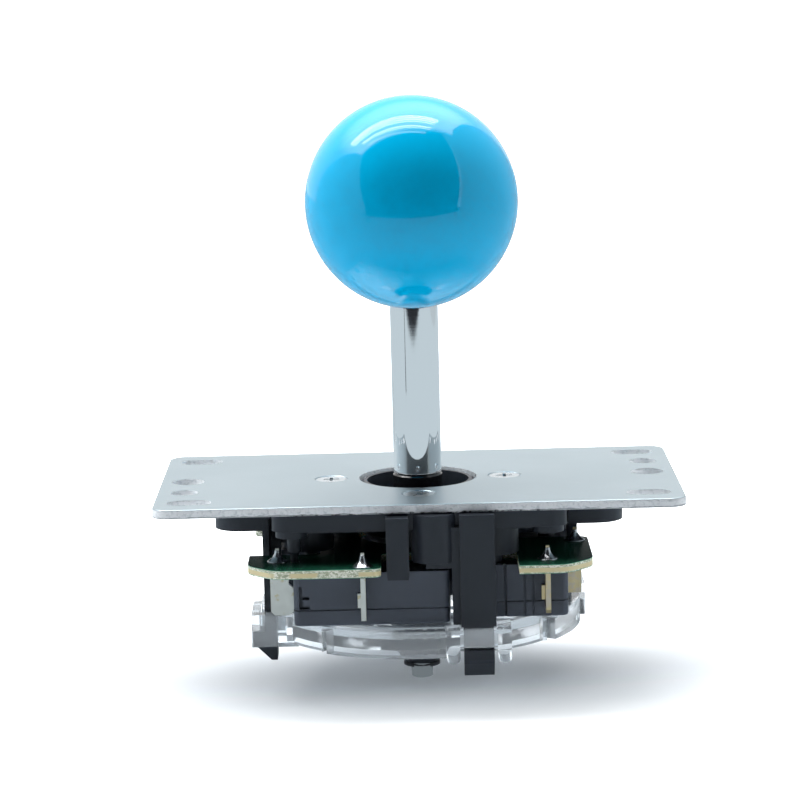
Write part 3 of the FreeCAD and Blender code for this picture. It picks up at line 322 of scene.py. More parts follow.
def mouldedPlastic(name, base, edge, roughness, grainSize=0.12, depth=0.006, dustShare=0.5):
    f = mouldedFinish
    material, tree, surface = newMaterial(name, Specular_IOR_Level=f["specular"])
    spot = objectPlace(tree)
    swell = noise(tree, spot, f["swellScale"], 3.0)
    paler = tuple(f["swellPaler"] * c for c in base)
    colour = mixColour(tree, calc(tree, "MULTIPLY", swell, 0.5), base, paler)
    # sharp edges mixed towards a lighter colour: a painted highlight where the edges catch the light
    wearAndHighlight = place(tree, edgeWearAndHighlight, Width=f["edgeWidth"], Broken=f["edgeBroken"])["Edge"]
    colour = mixColour(tree, calc(tree, "MULTIPLY", wearAndHighlight, f["edgeShare"]), colour, edge)
    specks = place(tree, dust, Spacing=f["dustSpacing"], Speck=f["speck"])["Dust"]
    colour = mixColour(tree, calc(tree, "MULTIPLY", specks, dustShare), colour, f["dust"])
    shine = calc(tree, "MULTIPLY", swell, f["swellShine"])
    shine = calc(tree, "ADD", shine, roughness - f["swellShine"] / 2)
    height = place(tree, grain, Grain_Size=grainSize)["Height"]
    finish(surface, colour, shine, bump(tree, height, depth, 0.6, softEdge(tree, f["softEdge"])))
    return material


housingFinish = {
    "base": (0.027, 0.033, 0.044),
    # edge: colour of the painted highlight on sharp edges, likewise in the finishes below
    "edge": (0.085, 0.095, 0.11),
    "roughness": 0.36,
}


def blackMoulding():
    return mouldedPlastic("blackMoulding", **housingFinish)


switchFinish = {
    "base": (0.075, 0.089, 0.116),
    "edge": (0.14, 0.16, 0.19),
    "roughness": 0.42,
    "grainSize": 0.09,  # mm
    "depth": 0.004,
}


def switchCaseGrey():
    return mouldedPlastic("switchCaseGrey", **switchFinish)


plungerFinish = {
    "base": (0.012, 0.012, 0.014),
    "edge": (0.085, 0.095, 0.11),
    "roughness": 0.30,
}


def plungerBlack():
    return mouldedPlastic("plungerBlack", **plungerFinish)


connectorFinish = {
    "base": (0.60, 0.58, 0.51),
    "edge": (0.74, 0.73, 0.68),
    "roughness": 0.48,
    "grainSize": 0.10,
    "depth": 0.005,
    "dustShare": 0.2,
}


def connectorWhite():
    return mouldedPlastic("connectorWhite", **connectorFinish)


pivotFinish = {
    "base": (0.010, 0.011, 0.013),
    "specular": 0.6,
    "roughness": 0.10,
    "cloudShine": 0.12,
    "grease": (0.36, 0.38, 0.39),
    "greaseCentre": (-6.2, -5.6, -2.5),  # mm
    "greaseReach": 3.2,
    "greaseWander": 5.0,
    "greaseDepth": 0.05,
}


def pivotBlack():
    f = pivotFinish
    material, tree, surface = newMaterial("pivotBlack", Specular_IOR_Level=f["specular"])
    spot = objectPlace(tree)
    away = vectorMath(tree, "DISTANCE", spot, tuple(c * mm for c in f["greaseCentre"]))["Value"]
    border = ragged(tree, away, spot, 420.0, f["greaseWander"], 4.0)
    grease = fade(tree, border, f["greaseReach"] * 0.7 * mm, f["greaseReach"] * mm, 1.0, 0.0)
    colour = mixColour(tree, grease, f["base"], f["grease"])
    shine = calc(tree, "MULTIPLY", noise(tree, spot, 300.0, 2.0), f["cloudShine"])
    shine = calc(tree, "ADD", shine, f["roughness"])
    relief = calc(tree, "ADD", grease, noise(tree, spot, 900.0))
    finish(surface, colour, shine, bump(tree, relief, f["greaseDepth"], 0.5))
    return material


turnedFinish = {  # what all the turned and drawn metals share
    "ringStretch": (0.05, 0.05, 1),
    "ringDepth": 0.0015,  # mm
    "cloudScale": 260.0,  # per metre
    "softEdge": 0.08,
}


def turnedMetal(name, colour, roughness, lines=0.12, streak=0.5, dark=0.75, metal=1.0):
    f = turnedFinish
    material, tree, surface = newMaterial(name, Metallic=metal)
    spot = objectPlace(tree)
    rings = noise(tree, stretch(tree, spot, f["ringStretch"]), 1000.0 / lines, 2.0)
    cloud = noise(tree, spot, f["cloudScale"], 3.0)
    shade = mixColour(tree, calc(tree, "MULTIPLY", cloud, streak), colour, tuple(dark * c for c in colour))
    shine = calc(tree, "ADD", calc(tree, "MULTIPLY", rings, 0.6 * roughness), 0.7 * roughness)
    finish(surface, shade, shine, bump(tree, rings, f["ringDepth"], 0.4, softEdge(tree, f["softEdge"])))
    return material


shaftFinish = {
    "colour": (0.93, 0.94, 0.95),
    "roughness": 0.035,
    "lines": 0.5,  # mm between turning marks
    "streak": 0.15,
    "dark": 0.94,
}


def shaftChrome():
    return turnedMetal("shaftChrome", **shaftFinish)


screwFinish = {
    "colour": (0.60, 0.65, 0.68),
    "roughness": 0.28,
    "lines": 0.2,
    "streak": 0.4,
    "metal": 0.85,
}


def screwSteel():
    return turnedMetal("screwSteel", **screwFinish)


insertFinish = {"colour": (0.80, 0.58, 0.27), "roughness": 0.28}


def brass():
    return turnedMetal("brass", **insertFinish)


springFinish = {"colour": (0.46, 0.47, 0.48), "roughness": 0.24, "lines": 0.1, "streak": 0.8}


def springSteel():
    return turnedMetal("springSteel", **springFinish)


seatFinish = {"colour": (0.62, 0.64, 0.66), "roughness": 0.30}


def seatSteel():
    return turnedMetal("seatSteel", **seatFinish)


ringFinish = {"colour": (0.10, 0.10, 0.11), "roughness": 0.34, "lines": 0.3, "streak": 0.8, "dark": 0.6}


def ringSteel():
    return turnedMetal("ringSteel", **ringFinish)


ballFinish = {
    "blue": (0.0, 0.50, 0.88),
    "deep": (0.0, 0.48, 0.85),
    "dust": (0.75, 0.85, 0.9),
    "dustSpacing": 5.0,  # mm
    "speck": 0.07,
    "dustShare": 0.35,
    "roughness": 0.015,
    "cloudShine": 0.02,
    "specular": 0.5,
    "grain": {"Grain_Size": 0.9, "Swell_Size": 8.0},  # mm
    "grainDepth": 0.001,
}


def ballBlue():
    f = ballFinish
    material, tree, surface = newMaterial("ballBlue", Specular_IOR_Level=f["specular"])
    spot = objectPlace(tree)
    cloud = noise(tree, spot, 40.0, 2.0)
    colour = mixColour(tree, cloud, f["blue"], f["deep"])
    specks = place(tree, dust, Spacing=f["dustSpacing"], Speck=f["speck"])["Dust"]
    colour = mixColour(tree, calc(tree, "MULTIPLY", specks, f["dustShare"]), colour, f["dust"])
    shine = calc(tree, "MULTIPLY", noise(tree, spot, 700.0, 2.0), f["cloudShine"])
    shine = calc(tree, "ADD", shine, f["roughness"])
    height = place(tree, grain, **f["grain"])["Height"]
    finish(surface, colour, shine, bump(tree, height, f["grainDepth"], 0.2))
    return material


boardFinish = {
    "mask": (0.008, 0.072, 0.042),
    "trace": (0.022, 0.135, 0.070),
    "rimGreen": (0.10, 0.42, 0.26),
    "core": (0.76, 0.67, 0.36),
    "coreSmooth": (0.84, 0.77, 0.48),
    "corePale": (0.98, 1.0, 0.88),
    "coreGreen": (0.44, 0.50, 0.32),
    "top": -10.5,  # mm
    "foot": -12.1,
    "bar": (0.25, 0.55, 0.05),  # smooth layer: above the foot, below the top, softness
    "rim": (0.07, 0.09, 0.04),
    "scales": {"weave": 1900.0, "slow": 150.0, "layers": 2500.0},  # per metre
    "traces": {"Scale": 130.0, "Mortar Size": 0.012, "Mortar Smooth": 0.1},
    "fibreDepth": 4.0,  # times the traces'
    "traceDepth": 0.02,  # mm
    "roughness": 0.24,
    "edgeRoughness": 0.56,
    "specular": 0.5,
}


def boardLayer(tree, height, borders):
    above, below, soft = borders
    low, high = (boardFinish["foot"] + above) * mm, (boardFinish["top"] - below) * mm
    return between(tree, height, low, high, soft * mm)


def boardGreen():
    f, scales = boardFinish, boardFinish["scales"]
    material, tree, surface = newMaterial("boardGreen", Specular_IOR_Level=f["specular"])
    spot = objectPlace(tree)
    height = axes(tree, spot)[2]
    upright = calc(tree, "ABSOLUTE", axes(tree, addNode(tree, "NewGeometry").outputs["Normal"])[2])
    side = fade(tree, upright, 0.3, 0.6, 1.0, 0.0)
    weave = noise(tree, stretch(tree, spot, (1, 1, 2)), scales["weave"], 3.0, 0.7)
    slow = noise(tree, stretch(tree, spot, (1, 1, 0.2)), scales["slow"], 2.0)
    layers = noise(tree, stretch(tree, spot, (0.05, 0.05, 1)), scales["layers"], 1.0)
    smooth = mixColour(tree, layers, f["core"], f["coreSmooth"])
    mottled = mixColour(tree, fade(tree, weave, 0.42, 0.60), f["coreGreen"], f["corePale"])
    bar = boardLayer(tree, height, f["bar"])
    bar = calc(tree, "MULTIPLY", bar, fade(tree, slow, 0.48, 0.52, 1.0, 0.0))
    core = mixColour(tree, bar, mottled, smooth)
    core = mixColour(tree, boardLayer(tree, height, f["rim"]), f["rimGreen"], core)
    lines = {"Color1": (0, 0, 0), "Color2": (0, 0, 0), "Mortar": (1, 1, 1), **f["traces"]}
    copper = addNode(tree, "TexBrick", {"Vector": stretch(tree, spot, (1, 1, 0)), **lines}).outputs["Color"]
    trace = mixColour(tree, copper, f["mask"], f["trace"])
    colour = mixColour(tree, side, trace, core)
    rougher = calc(tree, "MULTIPLY", side, f["edgeRoughness"] - f["roughness"])
    shine = calc(tree, "ADD", rougher, f["roughness"])
    fibres = calc(tree, "MULTIPLY", calc(tree, "MULTIPLY", weave, side), f["fibreDepth"])
    finish(surface, colour, shine, bump(tree, calc(tree, "ADD", fibres, copper), f["traceDepth"], 0.5))
    return material


stripFinish = {  # what all the strips share
    "scratches": 0.8,
    "scratchTurn": 0.7,
    "scratched": (0.30, 0.27, 0.20),
    "patchScale": 520.0,  # per metre
    "edgeWidth": 0.1,  # mm
    "edgeBroken": 0.2,
    "edgeShare": 0.6,
    "roughness": 0.24,
    "cloudShine": 0.15,
    "depth": 0.01,  # mm
    "softEdge": 0.06,
}


def platedStrip(name, face, wearAndHighlight, share):  # tin over brass, rubbed through on a share of the face
    f = stripFinish
    material, tree, surface = newMaterial(name, Metallic=1.0)
    spot = objectPlace(tree)
    cloud = noise(tree, spot, f["patchScale"], 4.0, 0.6)
    patches = fade(tree, cloud, 0.62 - share * 0.4, 0.72 - share * 0.4)
    colour = mixColour(tree, patches, face, wearAndHighlight)
    line = place(tree, scratches, Amount=f["scratches"], Turn=f["scratchTurn"])["Scratch"]
    colour = mixColour(tree, line, colour, f["scratched"])
    edge = place(tree, edgeWearAndHighlight, Width=f["edgeWidth"], Broken=f["edgeBroken"])["Edge"]
    colour = mixColour(tree, calc(tree, "MULTIPLY", edge, f["edgeShare"]), colour, wearAndHighlight)
    shine = calc(tree, "MULTIPLY", noise(tree, spot, 900.0, 2.0), f["cloudShine"])
    shine = calc(tree, "ADD", shine, f["roughness"])
    relief = noise(tree, spot, 1800.0, 3.0)
    finish(surface, colour, shine, bump(tree, relief, f["depth"], 0.5, softEdge(tree, f["softEdge"])))
    return material


terminalFinish = {"face": (0.90, 0.88, 0.82), "wearAndHighlight": (0.78, 0.68, 0.46), "share": 0.1}


def terminalTin():
    return platedStrip("terminalTin", **terminalFinish)


rightTerminalFinish = {"face": (0.78, 0.66, 0.52), "wearAndHighlight": (0.86, 0.70, 0.42), "share": 0.45}


def terminalBrass():
    return platedStrip("terminalBrass", **rightTerminalFinish)


connectorPinFinish = {"face": (0.82, 0.82, 0.80), "wearAndHighlight": (0.74, 0.66, 0.46), "share": 0.05}


def connectorPinTin():
    return platedStrip("connectorPinTin", **connectorPinFinish)


solderFinish = {
    "dull": (0.62, 0.64, 0.67),
    "bright": (0.88, 0.89, 0.90),
    "cloudScale": 600.0,  # per metre
    "roughness": 0.12,
    "cloudShine": 0.2,
    "depth": 0.05,  # mm
}


def solder():
    f = solderFinish
    material, tree, surface = newMaterial("solder", Metallic=1.0)
    cloud = noise(tree, objectPlace(tree), f["cloudScale"], 3.0)
    colour = mixColour(tree, cloud, f["dull"], f["bright"])
    shine = calc(tree, "ADD", calc(tree, "MULTIPLY", cloud, f["cloudShine"]), f["roughness"])
    finish(surface, colour, shine, bump(tree, cloud, f["depth"], 0.5))
    return material


gateFinish = {
    "clear": (0.90, 0.94, 0.97),
    "cloudy": (0.84, 0.89, 0.92),
    "transmission": 0.78,
    "ior": 1.32,
    "roughness": 0.02,
    "frosting": 0.06,
    "softEdge": 0.10,  # mm
    "waves": {"Grain_Size": 0.7, "Swell_Size": 3.0, "Swell_Share": 1.5},
    "waveDepth": 0.03,
}


def gateClear():
    f = gateFinish
    glass = {"Transmission_Weight": f["transmission"], "IOR": f["ior"], "Metallic": 0.0}
    material, tree, surface = newMaterial("gateClear", **glass)
    spot = objectPlace(tree)
    cloud = noise(tree, spot, 140.0, 2.0)
    colour = mixColour(tree, cloud, f["clear"], f["cloudy"])
    frosted = fade(tree, noise(tree, spot, 500.0, 3.0), 0.5, 0.7)
    shine = calc(tree, "ADD", calc(tree, "MULTIPLY", frosted, f["frosting"]), f["roughness"])
    height = place(tree, grain, **f["waves"])["Height"]
    finish(surface, colour, shine, bump(tree, height, f["waveDepth"], 0.25, softEdge(tree, f["softEdge"])))
    return material


finishes = {
    "mounting_plate": plateZinc(),
    "plate_screws": screwSteel(),
    "housing": blackMoulding(),
    "pivot": pivotBlack(),
    "shaft": shaftChrome(),
    "ball_top": ballBlue(),
    "ball_insert": brass(),
    "return_spring": springSteel(),
    "upper_spring_seat": seatSteel(),
    "e_ring": ringSteel(),
    "circuit_board": boardGreen(),
    "solder_joints": solder(),
    "connector_housing": connectorWhite(),
    "connector_pins": connectorPinTin(),
    "restrictor_gate": gateClear(),
    "switch_case": switchCaseGrey(),
    "switch_plunger": plungerBlack(),
    "switch_terminals": terminalTin(),
}
finishes["actuator"] = finishes["housing"]
finishes["lower_spring_seat"] = finishes["upper_spring_seat"]
finishes["switch_cover"] = finishes["switch_case"]
brassStrip = terminalBrass()

for name, part in parts.items():
    kind = name
    for side in ("front", "right", "back", "left"):
        kind = kind.removesuffix("_" + side)
    part.data.materials.clear()
    part.data.materials.append(brassStrip if name == "switch_terminals_right" else finishes[kind])
print("materials ready")


# turned pieces, with fine facets and the small edge rounds of the real ones
def latheMesh(name, outline, sides):  # outline of radius and height in mm, from the axis back to the axis
    shape = bmesh.new()
    rings = []
    for r, z in outline:
        if r == 0:
            rings.append([shape.verts.new((0, 0, z * mm))])
            continue
        turn = [2 * math.pi * n / sides for n in range(sides)]
        rings.append([shape.verts.new((r * math.cos(a) * mm, r * math.sin(a) * mm, z * mm)) for a in turn])
    for low, high in zip(rings, rings[1:]):
        for n in range(sides):
            m = (n + 1) % sides
            corners = [low[n % len(low)], low[m % len(low)], high[m % len(high)], high[n % len(high)]]
            kept = [v for k, v in enumerate(corners) if v not in corners[:k]]
            if len(kept) > 2:
                shape.faces.new(kept)
    bmesh.ops.recalc_face_normals(shape, faces=shape.faces)
    mesh = bpy.data.meshes.new(name)
    shape.to_mesh(mesh)
    shape.free()
    return mesh


def addPiece(name, mesh, material, body, stands):
    piece = bpy.data.objects.new(name, mesh)
    scene.collection.objects.link(piece)
    mesh.materials.append(material)
    mesh.shade_smooth()
    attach(piece, body)
    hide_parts(stands)
    return piece


def arc(centreR, centreZ, radius, start, end, steps):  # degrees from straight out, counted upwards
    found = []
    for n in range(steps + 1):
        a = math.radians(start + (end - start) * n / steps)
        found.append((centreR + radius * math.cos(a), centreZ + radius * math.sin(a)))
    return found


ballShape = {
    "seatRound": 0.25,  # mm, at the rim of the flat seat
    "boreAbove": 0.5,  # mm left free over the insert
    "sides": 192,
    "steps": 120,
}


def makeBall():
    low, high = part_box("ball_top")
    radius = (high.x - low.x) / 2 / mm
    middle = high.z / mm - radius
    seat = low.z / mm
    insertLow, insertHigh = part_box("ball_insert")
    boreR = (insertHigh.x - insertLow.x) / 2 / mm
    boreTop = insertHigh.z / mm + ballShape["boreAbove"]
    seatR = math.sqrt(radius ** 2 - (middle - seat) ** 2)
    start = math.degrees(math.asin((seat - middle) / radius))
    skin = arc(0, middle, radius, start + 0.4, 89.3, ballShape["steps"])
    rim = max(seatR - ballShape["seatRound"], boreR + 0.02)
    outline = [(0, boreTop), (boreR, boreTop), (boreR, seat), (rim, seat)]
    mesh = latheMesh("ballSkin", outline + skin + [(0, middle + radius)], ballShape["sides"])
    addPiece("ballSkin", mesh, finishes["ball_top"], "stick", "ball_top")


makeBall()

shaftShape = {  # mm, from the ball down
    "stud": 3.0,
    "grip": 4.425,
    "shoulder": 32.11,
    "foot": 1.01,
    "journal": 3.0,
    "tip": 2.0,
    "tipStart": -29.5,
    "groove": (1.5, -34.82, -35.52),  # radius, top, bottom
    "corner": 0.09,  # broken edges of the turned bar
    "footCorner": 0.16,
    "studCorner": 0.5,
    "journalCorner": 0.3,
    "endRound": 0.3,
    "ring": 0.05,  # short ring beside a corner, which keeps the long face's shading straight
    "driverSlot": (0.8, 1.0),  # width, depth
    "sides": 160,
}


def makeShaft():
    s = shaftShape
    low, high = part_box("shaft")
    end, top = low.z / mm, high.z / mm
    stud, grip, journal, tip = s["stud"], s["grip"], s["journal"], s["tip"]
    shoulder, foot, tipStart = s["shoulder"], s["foot"], s["tipStart"]
    c, ring, footCorner, studCorner = s["corner"], s["ring"], s["footCorner"], s["studCorner"]
    journalCorner, endRound = s["journalCorner"], s["endRound"]
    grooveR, grooveTop, grooveLow = s["groove"]
    outline = [(0, top), (stud - studCorner, top), (stud, top - studCorner)]
    outline += [(stud, shoulder), (grip - c, shoulder)]
    outline += arc(grip - c, shoulder - c, c, 70, 0, 4)
    outline += [(grip, shoulder - c - ring), (grip, foot + footCorner + ring)]
    outline += [(grip, foot + footCorner), (grip - footCorner, foot), (journal, foot)]
    outline += [(journal, tipStart + journalCorner), (journal - journalCorner, tipStart), (tip, tipStart)]
    outline += [(tip, grooveTop + c), (tip - c, grooveTop), (grooveR, grooveTop)]
    outline += [(grooveR, grooveLow), (tip - c, grooveLow), (tip, grooveLow - c)]
    outline += [(tip, end + 1.5 * endRound)]
    outline += arc(tip - endRound, end + endRound, endRound, -10, -80, 4) + [(0, end)]
    mesh = latheMesh("shaftSkin", outline, s["sides"])
    width, depth = s["driverSlot"]
    slot = boxMesh("driverSlot", (-journal, -width / 2, end - 1), (journal, width / 2, end + depth))
    cutter = bpy.data.objects.new("driverSlot", slot)
    blank = bpy.data.objects.new("shaftBlank", mesh)
    for made in (cutter, blank):
        scene.collection.objects.link(made)
    saw = blank.modifiers.new("saw", "BOOLEAN")
    saw.operation, saw.solver, saw.object = "DIFFERENCE", "EXACT", cutter
    cut = bpy.data.meshes.new_from_object(blank.evaluated_get(bpy.context.evaluated_depsgraph_get()))
    for made in (cutter, blank):
        bpy.data.objects.remove(made)
    piece = addPiece("shaftSkin", cut, finishes["shaft"], "stick", "shaft")
    piece.data.set_sharp_from_angle(angle=math.radians(35))


def boxMesh(name, low, high):  # mm
    shape = bmesh.new()
    bmesh.ops.create_cube(shape, size=1)
    for v in shape.verts:
        v.co = Vector([(a if c < 0 else b) * mm for a, b, c in zip(low, high, v.co)])
    mesh = bpy.data.meshes.new(name)
    shape.to_mesh(mesh)
    shape.free()
    return mesh


makeShaft()

solderShape = {
    "pins": ((-25.5, -22.6), (-10.25, -28.3)),  # mm, front switch; the others stand a quarter turn on
    "skirt": 2.0,
    "neck": 0.46,
    "foot": -10.5,
    "rise": 2.05,
    "rim": 0.02,  # thickness of the skirt's rim
    "tipRound": 0.10,
    "spread": (2.3, 0.3),  # how hollow the flank is, and how much that differs
    "sides": 40,
    "rings": 16,
}


def solderCone(x, y, seed):  # drawn up round the pin by surface tension, each one a little different
    s = solderShape
    spread = s["spread"][0] + s["spread"][1] * math.sin(5.0 * seed)
    outline = [(0, s["foot"])]
    for n in range(s["rings"] + 1):
        t = n / s["rings"]
        r = s["neck"] + (s["skirt"] - s["neck"]) * (1 - t) ** spread
        outline.append((r, s["foot"] + s["rim"] + (s["rise"] - s["tipRound"]) * t))
    outline += [(s["neck"] - s["tipRound"], s["foot"] + s["rise"]), (0, s["foot"] + s["rise"])]
    mesh = latheMesh("solderCone", outline, s["sides"])
    for v in mesh.vertices:
        a = math.atan2(v.co.y, v.co.x)
        swell = 1 - 0.05 * (1 + math.sin(2 * a + seed)) * min(1, math.hypot(v.co.x, v.co.y) / mm)
        v.co.x, v.co.y = v.co.x * swell + x * mm, v.co.y * swell + y * mm
    return mesh


def makeSolder():
    joined = bmesh.new()
    for quarter in range(4):
        for n, (x, y) in enumerate(solderShape["pins"]):
            for turn in range(quarter):
                x, y = -y, x
            joined.from_mesh(solderCone(x, y, 1.3 * quarter + 2.1 * n))
    mesh = bpy.data.meshes.new("solderSkin")
    joined.to_mesh(mesh)
    joined.free()
    addPiece("solderSkin", mesh, finishes["solder_joints"], "frame", "solder_joints")


makeSolder()
print("ball, shaft and solder turned")


# studio: pale floor with a painted shadow round the lever, white air, cards that only reflections see, a dark
# room behind the camera
studio = {
    "floorLevel": -38.15,  # mm
    "tableLift": 0.2,  # mm above the floor
    "shadeLineLift": 0.3,
    "floorSize": 16.0,  # m
    # the floor's glow is kept low near the lever and tinted blue there: a painted shadow
    "paintedShadowGlow": 0.13,
    "glowFar": 1.0,
    "paintedShadowReach": (0.016, 0.130),  # m from the middle of the painted shadow
    "paintedShadowMiddle": (-0.014, 0.010),
    "paintedShadowSqueeze": (0.54, 2.05),
    "paintedShadowTint": (0.84, 0.93, 1.0),
    "paper": (0.74, 0.77, 0.80),
    "paperBounce": (0.77, 0.80, 0.84),  # what the paper throws back on the lever
    "roomLight": 0.32,
    "roomFront": 0.0,  # behind the camera
    "roomFade": (-0.6, 0.6),
    "tableFront": 0.425,  # m, from the lever's axis to the table's front edge
    "tableTurn": -8.0,  # degrees
    "leftFill": {"centre": (-1.1, 0.10, 0.30), "size": (0.8, 0.9), "watts": 3.4},
    "rightFill": {"centre": (1.1, 0.10, 0.30), "size": (0.8, 0.9), "watts": 2.8},
}

sheet = {  # lit cloth overhead, bright in the middle and faded out towards its borders, m
    "level": 0.66,
    "across": (-0.95, -0.50, 0.30, 0.75),
    "along": (-0.035, 0.03, 0.26, 1.0),  # from a front edge that runs askew
    "askew": 0.20,
    "reach": (-0.30, 1.2),  # the cloth's own front and back border
    "radiance": 4.0,
    "lighting": 4.8,  # radiance towards the matt surfaces
}

tableTop = {
    "colour": (0.55, 0.64, 0.69),
    "dark": (0.022, 0.025, 0.031),
    "shade": 0.30,  # share left under the lever
    "shadeReach": (0.02, 0.13),  # m
    "frontFade": 0.055,  # m, over which the front edge turns dark
    "grit": (14, 330, 0),  # how often the front edge breaks up along x and y
    "gritReach": 1.6,
    "size": (-2.0, 2.0, -1.8, 2.0),  # m
}

cards = {  # outlines in m, each about 0.9 m from the ball
    "darkOpening": {
        "outline": [(-0.61, -0.12, 0.72), (-0.42, -0.13, 0.83), (-0.13, -0.10, 0.89), (0.38, 0.02, 0.88),
                    (0.66, -0.62, -0.08), (0.66, -0.62, -0.40), (-0.58, -0.65, -0.40), (-0.58, -0.65, -0.25)],
        "colour": (0.02, 0.022, 0.026),
    },
    "leftPanel": {
        "outline": [(-0.61, -0.12, 0.72), (-0.73, 0.16, 0.58), (-0.77, 0.38, 0.36), (-0.77, 0.47, 0.20),
                    (-0.75, 0.51, 0.02), (-0.73, 0.50, -0.30), (-0.58, -0.65, -0.30)],
        "colour": (0.52, 0.60, 0.65),
    },
    "rightPanel": {
        "outline": [(0.38, 0.02, 0.88), (0.44, 0.36, 0.76), (0.46, 0.67, 0.46), (0.42, 0.77, 0.26),
                    (0.34, 0.84, 0.08), (0.18, 0.88, -0.02), (0.18, 0.88, -0.30), (0.66, -0.62, -0.30)],
        "colour": (0.49, 0.56, 0.60),
    },
}

shadeLineColour = (0.10, 0.11, 0.12)
paintedShadeLines = {  # painted shade lines on the paper, seen only in reflections, from one point to another, m
    "leftShadeLine": {"run": ((-0.118, 0.104), (-0.240, 0.258)), "width": 0.006},
    "rightShadeLine": {"run": ((0.150, 0.54), (0.136, 0.98)), "width": 0.016},
    "panelFootShade": {"run": ((-0.250, -0.229), (-0.400, -0.366)), "width": 0.020},
}


def stageMaterial(name):
    material = bpy.data.materials.new(name)
    material.use_nodes = True
    material.node_tree.nodes.clear()
    return material, material.node_tree


def stageMesh(name, corners, material):
    mesh = bpy.data.meshes.new(name)
    middle = sum((Vector(c) for c in corners), Vector()) / len(corners)
    count = len(corners)
    mesh.from_pydata([*corners, middle], [], [(n, (n + 1) % count, count) for n in range(count)])
    mesh.materials.append(material)
    made = bpy.data.objects.new(name, mesh)
    scene.collection.objects.link(made)
    return made


def rectangle(x0, x1, y0, y1, level):
    return [(x0, y0, level), (x1, y0, level), (x1, y1, level), (x0, y1, level)]


def reflectOnly(card):
    card.visible_camera = card.visible_diffuse = card.visible_shadow = card.visible_transmission = False


def makeCard(name, corners, colour):
    material, tree = stageMaterial(name)
    glow = addNode(tree, "Emission", {"Color": colour, "Strength": 1.0})
    addNode(tree, "OutputMaterial", {"Surface": glow.outputs[0]})
    reflectOnly(stageMesh(name, corners, material))


def farRays(tree):  # camera, reflection and see-through rays
    path = addNode(tree, "LightPath").outputs
    bounced = calc(tree, "MAXIMUM", path["Is Glossy Ray"], path["Is Transmission Ray"])
    return calc(tree, "MAXIMUM", path["Is Camera Ray"], bounced)


def makeWorld():
    world = bpy.data.worlds.new("studioAir")
    world.use_nodes = True
    scene.world = world
    tree = world.node_tree
    tree.nodes.clear()
    way = axes(tree, addNode(tree, "TexCoord").outputs["Generated"])[1]
    soft = fade(tree, way, *studio["roomFade"], studio["roomFront"], studio["roomLight"])
    seen = farRays(tree)
    strength = calc(tree, "ADD", seen, calc(tree, "MULTIPLY", calc(tree, "SUBTRACT", 1.0, seen), soft))
    air = addNode(tree, "Background", {"Color": (1, 1, 1), "Strength": strength})
    addNode(tree, "OutputWorld", {"Surface": air.outputs[0]})


def makeFloor():
    half, level = studio["floorSize"] / 2, studio["floorLevel"] * mm
    material, tree = stageMaterial("paleFloor")
    paperTone = mixColour(tree, farRays(tree), studio["paperBounce"], studio["paper"])
    paper = addNode(tree, "BsdfDiffuse", {"Color": paperTone})
    spot = addNode(tree, "NewGeometry").outputs["Position"]
    # painted shadow: a squeezed pool round the lever where the floor's glow stays low and blue
    (x, y), (wide, deep) = studio["paintedShadowMiddle"], studio["paintedShadowSqueeze"]
    moved = vectorMath(tree, "SUBTRACT", spot, (x, y, 0))[0]
    away = vectorMath(tree, "LENGTH", stretch(tree, moved, (wide, deep, 0)))["Value"]
    outsidePaintedShadow = fade(tree, away, *studio["paintedShadowReach"])
    paintedShadowTone = mixColour(tree, outsidePaintedShadow, studio["paintedShadowTint"], (1, 1, 1))
    rise = calc(tree, "MULTIPLY", outsidePaintedShadow, studio["glowFar"] - studio["paintedShadowGlow"])
    glowLevel = calc(tree, "ADD", rise, studio["paintedShadowGlow"])
    white = addNode(tree, "Emission", {"Color": paintedShadowTone, "Strength": glowLevel})
    nothing = addNode(tree, "Emission", {"Strength": 0.0})
    glow = addNode(tree, "MixShader", {0: farRays(tree), 1: nothing.outputs[0], 2: white.outputs[0]})
    both = addNode(tree, "AddShader", {0: paper.outputs[0], 1: glow.outputs[0]})
    addNode(tree, "OutputMaterial", {"Surface": both.outputs[0]})
    stageMesh("paleFloor", rectangle(-half, half, -half, half, level), material)


def overFloor(lift):
    return (studio["floorLevel"] + studio[lift]) * mm


def frontWay():
    turn = math.radians(studio["tableTurn"])
    return Vector((math.sin(turn), -math.cos(turn), 0))


# what reflections see: the pale table, its shade under the lever and the dark past its front edge
def makeTable():
    f = tableTop
    material, tree = stageMaterial("tableTop")
    spot = addNode(tree, "NewGeometry").outputs["Position"]
    away = vectorMath(tree, "LENGTH", stretch(tree, spot, (1, 1, 0)))["Value"]
    shade = fade(tree, away, *f["shadeReach"], f["shade"], 1.0)
    colour = mixColour(tree, 1.0, f["colour"], shade, "MULTIPLY")
    ahead = vectorMath(tree, "DOT_PRODUCT", spot, frontWay())["Value"]
    grit = calc(tree, "SUBTRACT", noise(tree, stretch(tree, spot, f["grit"]), 1.0, 3.0, 0.7), 0.5)
    ahead = calc(tree, "ADD", ahead, calc(tree, "MULTIPLY", grit, f["gritReach"] * f["frontFade"]))
    past = fade(tree, ahead, studio["tableFront"], studio["tableFront"] + f["frontFade"])
    glow = addNode(tree, "Emission", {"Color": mixColour(tree, past, colour, f["dark"]), "Strength": 1.0})
    addNode(tree, "OutputMaterial", {"Surface": glow.outputs[0]})
    reflectOnly(stageMesh("tableTop", rectangle(*f["size"], overFloor("tableLift")), material))


def makeCards():
    for name, card in cards.items():
        makeCard(name, card["outline"], card["colour"])
    # painted shade lines: dark strips that only reflections see
    for name, shadeLine in paintedShadeLines.items():
        start, end = (Vector((*point, overFloor("shadeLineLift"))) for point in shadeLine["run"])
        wide = (end - start).normalized().cross(Vector((0, 0, 1))) * shadeLine["width"] / 2
        makeCard(name, [start - wide, start + wide, end + wide, end - wide], shadeLineColour)


